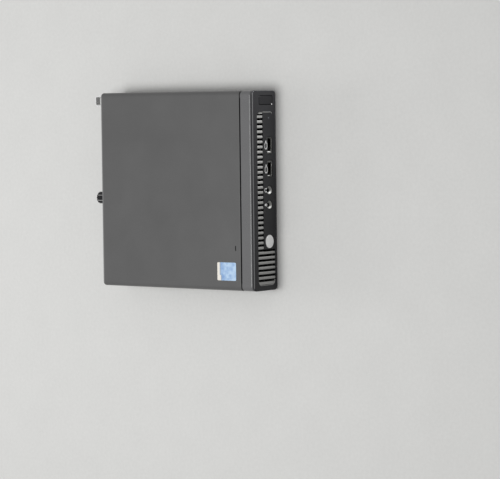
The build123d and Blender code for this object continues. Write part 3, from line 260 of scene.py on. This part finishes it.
def paint_edge_highlight(finish, code, top, outer, side):
    """Paints a highlight along one upper edge: a coat's colour turns to the pale one from 0.5 to
    0.05 mm below the top, but only on the given side of the level outer along Y."""
    tree = FINISHES[finish].node_tree
    spot = add(tree, "ShaderNodeSeparateXYZ", Vector=tree.nodes["Texture Coordinate"].outputs["Object"])
    high = add(tree, "ShaderNodeMapRange", {"From_Min": top - 0.5 * MM, "From_Max": top - 0.05 * MM},
               Value=spot.outputs["Z"])
    near = add(tree, "ShaderNodeMath", {"operation": side, "Value_001": outer}, Value=spot.outputs["Y"])
    highlit = add(tree, "ShaderNodeMath", {"operation": "MULTIPLY"},
               Value=high.outputs["Result"], Value_001=near.outputs["Value"])
    overlay(finish, code, highlit.outputs["Value"])


# the grille's colour fades to near black behind the front of its bars: painted shade in the gaps between the
# bars
bars_front = box("vent_grille")[0][1]
fade_to_shade("grille_lacquer", "0a0a0a", bars_front + 0.8 * MM, bars_front + 1.4 * MM)
# painted highlights: a paler colour along the front panel's narrow upper edge and along the cover's rear
# bend
paint_edge_highlight("bezel_plastic", "5e5e5f", box("front_bezel")[1][2], box("front_bezel")[0][1] + 1.1 * MM, "LESS_THAN")
paint_edge_highlight("cover_paint", "7e7e7e", box("access_panel")[1][2], box("access_panel")[1][1] - 1.9 * MM, "GREATER_THAN")

# -------------------------------------------------------------------- making pieces


def skin(rings, loop=False):
    """Closed shell through rings of points, an array (rings, points round, 3): quads join each
    ring to the next, and the end rings are filled unless the rings themselves make a loop.
    It gives the points, the quads and the end faces."""
    count, around = rings.shape[:2]
    ids = np.arange(count * around).reshape(count, around)
    here = ids if loop else ids[:-1]
    ahead = np.roll(ids, -1, axis=0)[:len(here)]
    quads = np.stack([here, np.roll(here, -1, 1), np.roll(ahead, -1, 1), ahead], axis=-1)
    ends = [] if loop else [ids[0, ::-1], ids[-1]]
    return rings.reshape(-1, 3), quads.reshape(-1, 4), ends


def piece(name, shells, finish, body):
    """One new object made of closed shells, riding on a CAD body."""
    faces = []
    start = 0
    for points, quads, ends in shells:
        faces += (quads + start).tolist()
        faces += [(end + start).tolist() for end in ends]
        start += len(points)
    mesh = bpy.data.meshes.new(name)
    mesh.from_pydata(np.concatenate([shell[0] for shell in shells]).tolist(), [], faces)
    mesh.materials.append(FINISHES[finish])
    made = bpy.data.objects.new(name, mesh)
    bpy.context.scene.collection.objects.link(made)
    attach(made, body)


# A side of the case is drawn on in millimetres: u to the right and v up as one looks at it,
# and a level outwards from the origin.
SIDES = {
    "front": np.array([(1, 0, 0), (0, 0, 1), (0, -1, 0)]),
    "rear": np.array([(-1, 0, 0), (0, 0, 1), (0, 1, 0)]),
    "top": np.array([(1, 0, 0), (0, 1, 0), (0, 0, 1)]),
    "under": np.array([(-1, 0, 0), (0, 1, 0), (0, 0, -1)]),
}


def on_side(side, u, v, level):
    """Points u*right + v*up + level*outwards of a side, in metres."""
    return np.stack(np.broadcast_arrays(u, v, level), axis=-1).astype(float) @ SIDES[side] * MM


def slab(side, outline, level, height):
    """A flat piece: an anticlockwise outline of (u, v) carried outwards from level by height."""
    u, v = np.array(outline, float).T
    return skin(np.stack([on_side(side, u, v, level), on_side(side, u, v, level + height)]))


def brick(side, u, v, width, depth, level, height):
    """A slab with a plain rectangle for its outline, centred on (u, v)."""
    left, right = u - width / 2, u + width / 2
    low, high = v - depth / 2, v + depth / 2
    return slab(side, [(left, low), (right, low), (right, high), (left, high)], level, height)


def arc(u, v, radius, start, end, count):
    """Points (u + r cos t, v + r sin t) for t from start to end in degrees."""
    turn = np.radians(np.linspace(start, end, count))
    return np.stack([u + radius * np.cos(turn), v + radius * np.sin(turn)], axis=-1)


def disc(u, v, radius, count=24):
    """Outline of a circle, anticlockwise."""
    return arc(u, v, radius, 0, 360 - 360 / count, count)


def rounded(u, v, width, height, radius):
    """Outline of a rectangle with quarter circles of five points at its corners, anticlockwise."""
    across, along = width / 2 - radius, height / 2 - radius
    corners = [(across, -along, -90), (across, along, 0), (-across, along, 90), (-across, -along, 180)]
    return np.concatenate([arc(u + a, v + b, radius, t, t + 90, 5) for a, b, t in corners])


def stroke(side, path, width, level, height, closed=False):
    """A printed line: a flat section carried along a path of (u, v). At each point it turns to
    the mean of the two runs' normals, lengthened so that its width holds round a corner."""
    path = np.array(path, float)
    ahead = np.roll(path, -1, axis=0) - path
    before = path - np.roll(path, 1, axis=0)
    if not closed:
        ahead[-1], before[0] = before[-1], ahead[0]
    normals = [np.stack([-run[:, 1], run[:, 0]], axis=-1) / np.linalg.norm(run, axis=1)[:, None]
               for run in (ahead, before)]
    mean = normals[0] + normals[1]
    mean /= np.linalg.norm(mean, axis=1)[:, None]
    mean /= np.clip((mean * normals[0]).sum(axis=1), 0.35, 1)[:, None]
    left, right = path + mean * width / 2, path - mean * width / 2
    low, high = level, level + height
    rings = [on_side(side, *left.T, low), on_side(side, *left.T, high),
             on_side(side, *right.T, high), on_side(side, *right.T, low)]
    return skin(np.stack(rings, axis=1), loop=closed)


def rod(path, radius, sides=8):
    """A round wire: a circle carried along a path of points in millimetres, square to it."""
    path = np.array(path, float)
    along = np.gradient(path, axis=0)
    along /= np.linalg.norm(along, axis=1)[:, None]
    across = np.cross(along, (1.0, 0.0, 0.0))
    across /= np.linalg.norm(across, axis=1)[:, None]
    other = np.cross(along, across)
    turn = np.linspace(0, 2 * pi, sides, endpoint=False)
    ring = across[:, None] * np.cos(turn)[None, :, None] + other[:, None] * np.sin(turn)[None, :, None]
    return skin((path[:, None] + radius * ring) * MM)


def turned(side, u, v, section, sides):
    """A ring: a closed section of (radius, level), anticlockwise with the radius to the right
    and the level up, turned about an axis square to the side."""
    turn = np.linspace(0, 2 * pi, sides, endpoint=False)
    rings = [on_side(side, u + r * np.cos(turn), v + r * np.sin(turn), w) for r, w in section]
    return skin(np.stack(rings, axis=1)[:, ::-1], loop=True)


# ---------------------------------------------------------------- prints on the front

front_level = -box("port_panel")[0][1] / MM  # the port panel's face
ink_sink, ink_height = 0.03, 0.05  # a print lies 0.02 mm proud, and is drawn in from below
ink_level = front_level - ink_sink
line_width = 0.45


def ink_line(path, width=line_width, closed=False):
    """A line printed on the port panel along a path of (u, v)."""
    return stroke("front", path, width, ink_level, ink_height, closed)


def ink_spot(outline):
    """A filled shape printed on the port panel."""
    return slab("front", outline, ink_level, ink_height)


usb_low, usb_high = box("front_usb_shells") / MM
usb_width = 13.4  # of one shell
usb_middles = (usb_low[0] + usb_width / 2, usb_high[0] - usb_width / 2)
usb_sign_height, usb_sign_shift = 15.4, 0.5
plug_width, plug_height, plug_corner = 5.0, 3.3, 1.3
lead_end, dot_place, dot_radius = 3.3, 3.8, 0.65  # from the plug's middle
prong_end, prong_rise = 3.4, 0.8
for number, x in enumerate(usb_middles):
    # a plug with two prongs, its lead, and a dot at the end of the lead
    plug_x = x - usb_sign_shift
    prongs = [
        [(plug_x - plug_width / 2, height), (plug_x - prong_end, height)]
        for height in (usb_sign_height + prong_rise, usb_sign_height - prong_rise)
    ]
    sign = [
        ink_line(rounded(plug_x, usb_sign_height, plug_width, plug_height, plug_corner), closed=True),
        ink_line([(plug_x + plug_width / 2, usb_sign_height), (plug_x + lead_end, usb_sign_height)]),
        ink_spot(disc(plug_x + dot_place, usb_sign_height, dot_radius)),
        *[ink_line(prong) for prong in prongs],
    ]
    piece(f"usb_sign_{number + 1}", sign, "print_ink", "case")

jack_low, jack_high = box("audio_jacks") / MM
jack_width = 8.6  # of one jack's body
headphone_x, microphone_x = jack_high[0] - jack_width / 2, jack_low[0] + jack_width / 2
jack_sign_height = 16.6
band_radius, band_drop, band_points = 1.5, 0.3, 15
cup_width, cup_height, cup_corner, cup_reach, cup_drop = 1.0, 1.6, 0.35, 1.45, 0.85
band = arc(headphone_x, jack_sign_height - band_drop, band_radius, -8, 188, band_points)
cups = [
    rounded(headphone_x + reach, jack_sign_height - cup_drop, cup_width, cup_height, cup_corner)
    for reach in (-cup_reach, cup_reach)
]
headphone = [ink_line(band), *[ink_spot(cup) for cup in cups]]
piece("headphone_sign", headphone, "print_ink", "case")

capsule_width, capsule_height, capsule_corner, capsule_rise = 1.3, 2.1, 0.64, 0.45
cradle_radius, cradle_rise, cradle_points = 1.3, 0.1, 13
stem_top, foot_level = jack_sign_height - 1.15, jack_sign_height - 1.8
foot_reach = 1.0
capsule_middle, cradle_middle = jack_sign_height + capsule_rise, jack_sign_height + cradle_rise
capsule = rounded(microphone_x, capsule_middle, capsule_width, capsule_height, capsule_corner)
cradle = arc(microphone_x, cradle_middle, cradle_radius, 180, 360, cradle_points)
microphone = [
    ink_spot(capsule),
    ink_line(cradle, line_width * 0.8),
    ink_line([(microphone_x, stem_top), (microphone_x, foot_level)]),
    ink_line([(microphone_x - foot_reach, foot_level), (microphone_x + foot_reach, foot_level)]),
]
piece("microphone_sign", microphone, "print_ink", "case")

# a pale dot near the button's lower left corner: a painted glint on the corner
button_low = box("power_button")[0] / MM
pip_inset, pip_rise, pip_radius = 1.4, 2.1, 0.55
pip = disc(button_low[0] + pip_inset, button_low[2] + pip_rise, pip_radius)
piece("button_pip", [slab("front", pip, -button_low[1] - ink_sink, ink_height)],
      "print_ink", "power_button")

# ------------------------------------- behind the bars, in the sockets and round the edges

# one near-black pad of painted shade behind the row of short bars, and one behind the long bars at the left
bars_low, bars_high = box("vent_grille") / MM
shade_pad_level, shade_pad_thickness = -bars_high[1] - 2.6, 0.5  # behind the rail's front wall
row_middle, row_height, row_length, row_depth = (bars_low[0] + bars_high[0]) / 2, 24.0, 152.0, 9.4
block_middle, block_height, block_length, block_depth = -68.5, 16.0, 30.0, 24.0
shade_pads = [
    brick("front", row_middle, row_height, row_length, row_depth, shade_pad_level, shade_pad_thickness),
    brick("front", block_middle, block_height, block_length, block_depth, shade_pad_level, shade_pad_thickness),
]
piece("dust_foam", shade_pads, "dust_foam", "case")

# a cone-shaped ring lines each jack's mouth: it is widest at the front and leads inwards
jack_drop = 4.4  # from the jacks' upper side to their axis
collar_inner, collar_outer, collar_slope, collar_wall = 2.0, 3.5, 1.45, 0.35
collar_front = -jack_low[1] + 0.1
collar_back = collar_front - collar_slope
collar = [
    (collar_inner, collar_back),
    (collar_inner, collar_back - collar_wall),
    (collar_outer, collar_front - collar_wall),
    (collar_outer, collar_front),
]
for name, x in (("headphone_collar", headphone_x), ("microphone_collar", microphone_x)):
    ring = turned("front", x, jack_high[2] - jack_drop, collar, 48)
    piece(name, [ring], "jack_lining", "case")

# two spring tabs in each front socket
usb_axis = (usb_low[2] + usb_high[2]) / 2
shell_wall = 0.45  # from the shell's outer side to a tab's ends
tab_start, tab_length = usb_low[1] + 0.5, 5.0
tab_height, tab_thickness, tab_bow = 4.6, 0.22, 0.55


def spring_tab(wall, hand):
    """A strip that grips a plug from one side of a front socket: its ends lie on the shell's
    wall at x = wall, and between them it bows in by tab_bow times the sine of pi times the way
    along. hand is -1 on the left and 1 on the right."""
    along = np.linspace(0.0, 1.0, 9)
    depth = tab_start + tab_length * along
    bow = wall - hand * tab_bow * np.sin(pi * along)
    low, high = usb_axis - tab_height / 2, usb_axis + tab_height / 2
    thick = hand * tab_thickness
    corners = [(0.0, low), (0.0, high), (thick, high), (thick, low)][::hand]
    sides = [np.stack([bow + aside, depth, np.full_like(along, z)], axis=-1) for aside, z in corners]
    return skin(np.stack(sides, axis=1) * MM)


tabs = [
    spring_tab(x + hand * (usb_width / 2 - shell_wall), hand)
    for x in usb_middles for hand in (-1, 1)
]
piece("front_usb_springs", tabs, "tinned_spring", "case")

# the grille's frame has a narrow silver edge round its lower right corner
edge_right, edge_low, edge_top, edge_corner = 69.55, 5.2, 19.6, 3.6
edge_width, edge_sink, edge_height = 0.42, 0.35, 0.38
edge_bend = arc(edge_right - edge_corner, edge_low + edge_corner, edge_corner, 0, -50, 8)
edge_path = np.concatenate([[(edge_right, edge_top)], edge_bend])
piece("grille_edge", [stroke("front", edge_path, edge_width, front_level - edge_sink, edge_height)],
      "grille_lacquer", "case")

# seven pale ribs on the screw's grip, painted highlights where its flutes catch the light; they narrow a
# little outwards
head_low, head_high = box("thumbscrew") / MM
head_middle = np.array([-(head_low[0] + head_high[0]) / 2, (head_low[2] + head_high[2]) / 2])
head_radius = (head_high[2] - head_low[2]) / 2
rib_count, rib_first = 7, 115.7  # the first is turned this many degrees from +X towards +Z
rib_root, rib_tip = head_radius - 0.3, head_radius + 0.03
rib_behind, rib_length = 6.4, 5.6  # a rib starts this far behind the head's outer end
ribs = []
for turn in np.radians(rib_first + 360 / rib_count * np.arange(rib_count)):
    out, across = np.array([-np.cos(turn), np.sin(turn)]), np.array([np.sin(turn), np.cos(turn)])
    section = [(rib_root, -0.3), (rib_root, 0.3), (rib_tip, 0.25), (rib_tip, -0.25)]
    corners = [head_middle + (out * reach + across * aside) for reach, aside in section]
    ribs.append(slab("rear", corners, head_high[1] - rib_behind, rib_length))
piece("screw_ribs", ribs, "tinned_spring", "thumbscrew")

# ---------------------------------------------------------------- sticker on the cover

cover_level = box("access_panel")[1][2] / MM
sticker_left, sticker_right, sticker_near, sticker_far = -79.5, -63.4, -66.8, -46.0
strip_width, strip_widening = 2.6, 1.2  # the white strip along the far edge, wider at the left
widening_end, widening_start = sticker_left + 4.4, sticker_left + 5.2
strip_edge = sticker_far - strip_width
band_start, band_end = strip_edge - 1.5, strip_edge - 0.5

# printed polyester film: a light blue field with soft blotches, beside a warm white strip
sticker, tree, surface, spot = shader("cover_sticker_film", Coat_Weight=0.4, Coat_Roughness=0.2)
axes = add(tree, "ShaderNodeSeparateXYZ", Vector=spot)
fade = add(tree, "ShaderNodeMapRange", {"From_Min": sticker_far * MM, "From_Max": sticker_near * MM},
           Value=axes.outputs["Y"])
blotches = add(tree, "ShaderNodeTexNoise", {"Scale": 1 / (3.6 * MM), "Detail": 1.0}, Vector=spot)
sweep = add(tree, "ShaderNodeMix", {"data_type": "FLOAT", "Factor": 0.72},
            A=fade.outputs["Result"], B=blotches.outputs["Fac"])
field = add(tree, "ShaderNodeValToRGB", stops=((0.3, "86a9d8"), (0.66, "bdd8f3")),
            Fac=sweep.outputs["Result"])
widening = add(tree, "ShaderNodeMapRange", {"From_Min": widening_start * MM, "From_Max": widening_end * MM,
               "To_Max": strip_widening * MM}, Value=axes.outputs["X"])
shifted = add(tree, "ShaderNodeMath", {"operation": "ADD"},
              Value=axes.outputs["Y"], Value_001=widening.outputs["Result"])
# a grey band lies along the field's edge, and then the strip starts
grey = add(tree, "ShaderNodeMapRange", {"From_Min": band_start * MM, "From_Max": band_end * MM},
           Value=shifted.outputs["Value"])
banded = add(tree, "ShaderNodeMix", {"data_type": "RGBA", "B": srgb("a4b1bf")},
             Factor=grey.outputs["Result"], A=field.outputs["Color"])
strip = add(tree, "ShaderNodeMath", {"operation": "GREATER_THAN", "Value_001": strip_edge * MM},
            Value=shifted.outputs["Value"])
printed = add(tree, "ShaderNodeMix", {"data_type": "RGBA", "B": srgb("f2ede4")},
              Factor=strip.outputs["Value"], A=banded.outputs["Result"])
smears = add(tree, "ShaderNodeTexNoise", {"Scale": 1 / (2.0 * MM), "Detail": 2.0}, Vector=spot)
gloss = add(tree, "ShaderNodeMapRange", {"To_Min": 0.3, "To_Max": 0.42}, Value=smears.outputs["Fac"])
tree.links.new(printed.outputs["Result"], surface.inputs["Base Color"])
tree.links.new(gloss.outputs["Result"], surface.inputs["Roughness"])
FINISHES["sticker"] = sticker

film_sink, film_height, film_corner = 0.03, 0.1, 1.0
film = rounded((sticker_left + sticker_right) / 2, (sticker_near + sticker_far) / 2,
               sticker_right - sticker_left, sticker_far - sticker_near, film_corner)
piece("cover_sticker", [slab("top", film, cover_level - film_sink, film_height)],
      "sticker", "access_panel")

# ------------------------------------------------------------------ contacts and lamps


finger_length, finger_sink, finger_shift = 8.0, 0.05, 1.0


def fingers(places, y, z, width, height):
    """Contact strips on the underside of a tongue, which is at the level z. They are sunk into
    it a little."""
    return [brick("under", -x, y, width, finger_length, -z - finger_sink, height) for x in places]


# four gold strips under each tongue of the front sockets, shifted a little towards the mouth
usb_fingers = (-3.5, -1.2, 1.2, 3.5)
usb_finger_width, usb_finger_height = 1.0, 0.15
tongue_low, tongue_high = box("front_usb_tongues") / MM
front_y = (tongue_low[1] + tongue_high[1]) / 2 - finger_shift
places = [x + offset for x in usb_middles for offset in usb_fingers]
front_strips = fingers(places, front_y, tongue_low[2], usb_finger_width, usb_finger_height)
piece("front_usb_contacts", front_strips, "gold", "case")

# the same under each of the four rear tongues
rear_low, rear_high = box("rear_usb_tongues") / MM
rear_half_width, rear_thickness = 5.5, 1.9  # of one tongue
rear_y = (rear_low[1] + rear_high[1]) / 2 + finger_shift
rear_strips = []
for x in (rear_low[0] + rear_half_width, rear_high[0] - rear_half_width):
    for z in (rear_low[2], rear_high[2] - rear_thickness):
        places = [x + offset for offset in usb_fingers]
        rear_strips += fingers(places, rear_y, z, usb_finger_width, usb_finger_height)
piece("rear_usb_contacts", rear_strips, "gold", "case")

# ten narrower strips under each display tongue
display_low, display_high = box("display_tongues") / MM
display_half_width = 6.25  # of one tongue
display_fingers = np.arange(-4.5, 4.6, 1.0)
display_finger_width, display_finger_height = 0.5, 0.12
display_y = (display_low[1] + display_high[1]) / 2 + finger_shift
display_middles = (display_low[0] + display_half_width, display_high[0] - display_half_width)
places = [x + offset for x in display_middles for offset in display_fingers]
display_strips = fingers(places, display_y, display_low[2], display_finger_width, display_finger_height)
piece("display_contacts", display_strips, "gold", "case")

# eight sprung wires in the network socket, rising from its floor to the back
net_low, net_high = box("network_socket") / MM
net_middle, net_mouth = (net_low[0] + net_high[0]) / 2, net_high[1]
net_floor = net_low[2] + 2.2
wire_pitch, wire_radius = 1.02, 0.2
wire_course = ((2.0, -0.1), (2.6, 0.35), (7.0, 2.0), (12.6, 4.0))  # (in from the mouth, above the floor)
wires = [
    rod([(x, net_mouth - inwards, net_floor + rise) for inwards, rise in wire_course], wire_radius)
    for x in net_middle + wire_pitch * (np.arange(8) - 3.5)
]
piece("network_contacts", wires, "gold", "case")

# a lamp at each upper corner of the network socket
lens_offset, lens_drop, lens_width, lens_height, lens_corner = 5.9, 1.5, 2.6, 1.5, 0.3
lens_sink, lens_thickness = 0.3, 0.45
for name, finish, offset in (
    ("network_lamp_left", "amber_lens", -lens_offset),
    ("network_lamp_right", "green_lens", lens_offset),
):
    window = rounded(-net_middle + offset, net_high[2] - lens_drop, lens_width, lens_height, lens_corner)
    lens = slab("rear", window, net_mouth - lens_sink, lens_thickness)
    piece(name, [lens], finish, "case")

# metal sleeve and pin of the power inlet
inlet_low, inlet_high = box("power_inlet") / MM
inlet_x, inlet_z = (inlet_low[0] + inlet_high[0]) / 2, (inlet_low[2] + inlet_high[2]) / 2
sleeve_inner, sleeve_outer, sleeve_length = 3.35, 3.72, 9.8
sleeve_back = inlet_high[1] - 10.4
sleeve_front = sleeve_back + sleeve_length
pin_radius, pin_behind, pin_length = 0.55, 3.0, 2.2
sleeve = [
    (sleeve_inner, sleeve_back),
    (sleeve_outer, sleeve_back),
    (sleeve_outer, sleeve_front),
    (sleeve_inner, sleeve_front),
]
barrel = turned("rear", -inlet_x, inlet_z, sleeve, 32)
pin = slab("rear", disc(-inlet_x, inlet_z, pin_radius, 16), inlet_high[1] - pin_behind, pin_length)
piece("inlet_sleeve", [barrel, pin], "turned_nickel", "case")

# ------------------------------------------------------------- small parts on the board

board_top = box("system_board")[1][2] / MM
board_foot = board_top - 0.05  # what is soldered on is sunk in a little

# chip capacitors behind the front sockets: ceramic bodies with tinned ends
columns, rows = np.arange(50.0, 73.0, 3.2), (-76.0, -72.5, -69.0)
body_width, body_depth, body_height = 1.1, 1.2, 1.0
end_width, end_depth, end_height, end_reach = 0.36, 1.25, 1.03, 0.72
spots = [(x, y) for x in columns for y in rows]
bodies = [brick("top", x, y, body_width, body_depth, board_foot, body_height) for x, y in spots]
end_places = [(x + reach, y) for x, y in spots for reach in (-end_reach, end_reach)]
ends = [brick("top", x, y, end_width, end_depth, board_foot, end_height) for x, y in end_places]
piece("chip_capacitors", bodies, "ceramic", "case")
piece("chip_capacitor_ends", ends, "tin", "case")

# sound chip beside the jacks, held just above the board by the leads on two of its sides
sound_x, sound_y, sound_width, sound_depth, sound_height = 6.5, -66.0, 5.0, 6.2, 1.2
sound_gap = 0.1
lead_width, lead_depth, lead_height = 1.1, 0.35, 0.4
lead_reach = sound_width / 2 + 0.5
lead_columns = (sound_x - lead_reach, sound_x + lead_reach)
lead_places = [(x, sound_y + step) for x in lead_columns for step in np.arange(-2.4, 2.5, 0.8)]
leads = [brick("top", x, y, lead_width, lead_depth, board_foot, lead_height) for x, y in lead_places]
sound_body = brick("top", sound_x, sound_y, sound_width, sound_depth, board_top + sound_gap, sound_height)
piece("sound_chip", [sound_body], "chip_epoxy", "case")
piece("sound_chip_leads", leads, "tin", "case")

# ------------------------------------------------------------------- stage and light

near, far = -3.0, 3.0
floor_corners = [(near, near, 0), (far, near, 0), (far, far, 0), (near, far, 0)]
floor_mesh = bpy.data.meshes.new("floor")
floor_mesh.from_pydata(floor_corners, [], [(0, 1, 2, 3)])
floor_mesh.materials.append(grained("floor_pale_paper", "d8d8d6", "dededc", 3.0, 0.02, (0.8, 0.9)))
floor = bpy.data.objects.new("floor", floor_mesh)
bpy.context.scene.collection.objects.link(floor)


def hang(name, data, place, aim):
    """Hangs a light at place and turns it to face aim."""
    lit = bpy.data.objects.new(name, data)
    lit.location = place
    lit.rotation_euler = (Vector(aim) - Vector(place)).to_track_quat("-Z", "Y").to_euler()
    bpy.context.scene.collection.objects.link(lit)
    return lit


def lamp(name, place, aim, size, power, mirrored=True):
    """A square area lamp, which shiny surfaces mirror unless mirrored is false."""
    data = bpy.data.lights.new(name, "AREA")
    data.size, data.energy = size, power
    hang(name, data, place, aim).visible_glossy = mirrored


def beam(name, place, aim, angle, power, unlit):
    """A soft-edged spot lamp whose cone is angle degrees wide, and which doesn't light the
    objects in unlit."""
    data = bpy.data.lights.new(name, "SPOT")
    data.spot_size, data.spot_blend = radians(angle), 1.0
    data.shadow_soft_size, data.energy = 0.02, power
    lit = hang(name, data, place, aim)
    kept_dark = bpy.data.collections.new(name + "_keeps_off")
    for number, thing in enumerate(unlit):
        kept_dark.objects.link(thing)
        kept_dark.collection_objects[number].light_linking.link_state = "EXCLUDE"
    lit.light_linking.receiver_collection = kept_dark


# a broad lamp overhead, one low behind, and a beam along the front from its right end
lamp("top_lamp", (-0.12, 0.10, 1.5), (0, 0, 0), 0.55, 12.5)
lamp("rear_lamp", (0.0, 1.2, 0.38), (0, 0.08, 0.03), 0.3, 3.5, mirrored=False)
sheet_metal = [NODES[name] for name in ("chassis", "access_panel", "front_rail")]
beam("side_beam", (0.42, -0.20, 0.040), (0.095, -0.0875, 0.022), 18, 19.0, [floor, *sheet_metal])

world = bpy.data.worlds.new("studio")
world.use_nodes = True
sky = world.node_tree.nodes["Background"]
sky.inputs["Color"].default_value = (1, 1, 1, 1)
sky.inputs["Strength"].default_value = 0.34
bpy.context.scene.world = world
bpy.context.scene.view_settings.view_transform = "Standard"

# ---------------------------------------------------------------------------- camera

# The camera looks down on the cover, leaning towards the front panel and a little towards
# +X, and it is turned so that +X is up in the picture.
lean_front, lean_right, camera_roll = radians(36.9), radians(3.06), radians(-0.70)
camera_distance, camera_right, camera_up = 2.2274, 0.04626, -0.04587
lens_mm = 176.04

back = Vector((sin(lean_right), -sin(lean_front) * cos(lean_right), cos(lean_front) * cos(lean_right)))
level_right = Vector((1, 0, 0)).cross(back).normalized()
level_up = back.cross(level_right)
right = cos(camera_roll) * level_right + sin(camera_roll) * level_up
up = cos(camera_roll) * level_up - sin(camera_roll) * level_right

camera_data = bpy.data.cameras.new("camera")
camera_data.lens = lens_mm
camera_data.clip_end = 20.0
camera = bpy.data.objects.new("camera", camera_data)
place = back * camera_distance + right * camera_right + up * camera_up
camera.matrix_world = Matrix((
    (right.x, up.x, back.x, place.x),
    (right.y, up.y, back.y, place.y),
    (right.z, up.z, back.z, place.z),
    (0, 0, 0, 1),
))
bpy.context.scene.collection.objects.link(camera)
bpy.context.scene.camera = camera
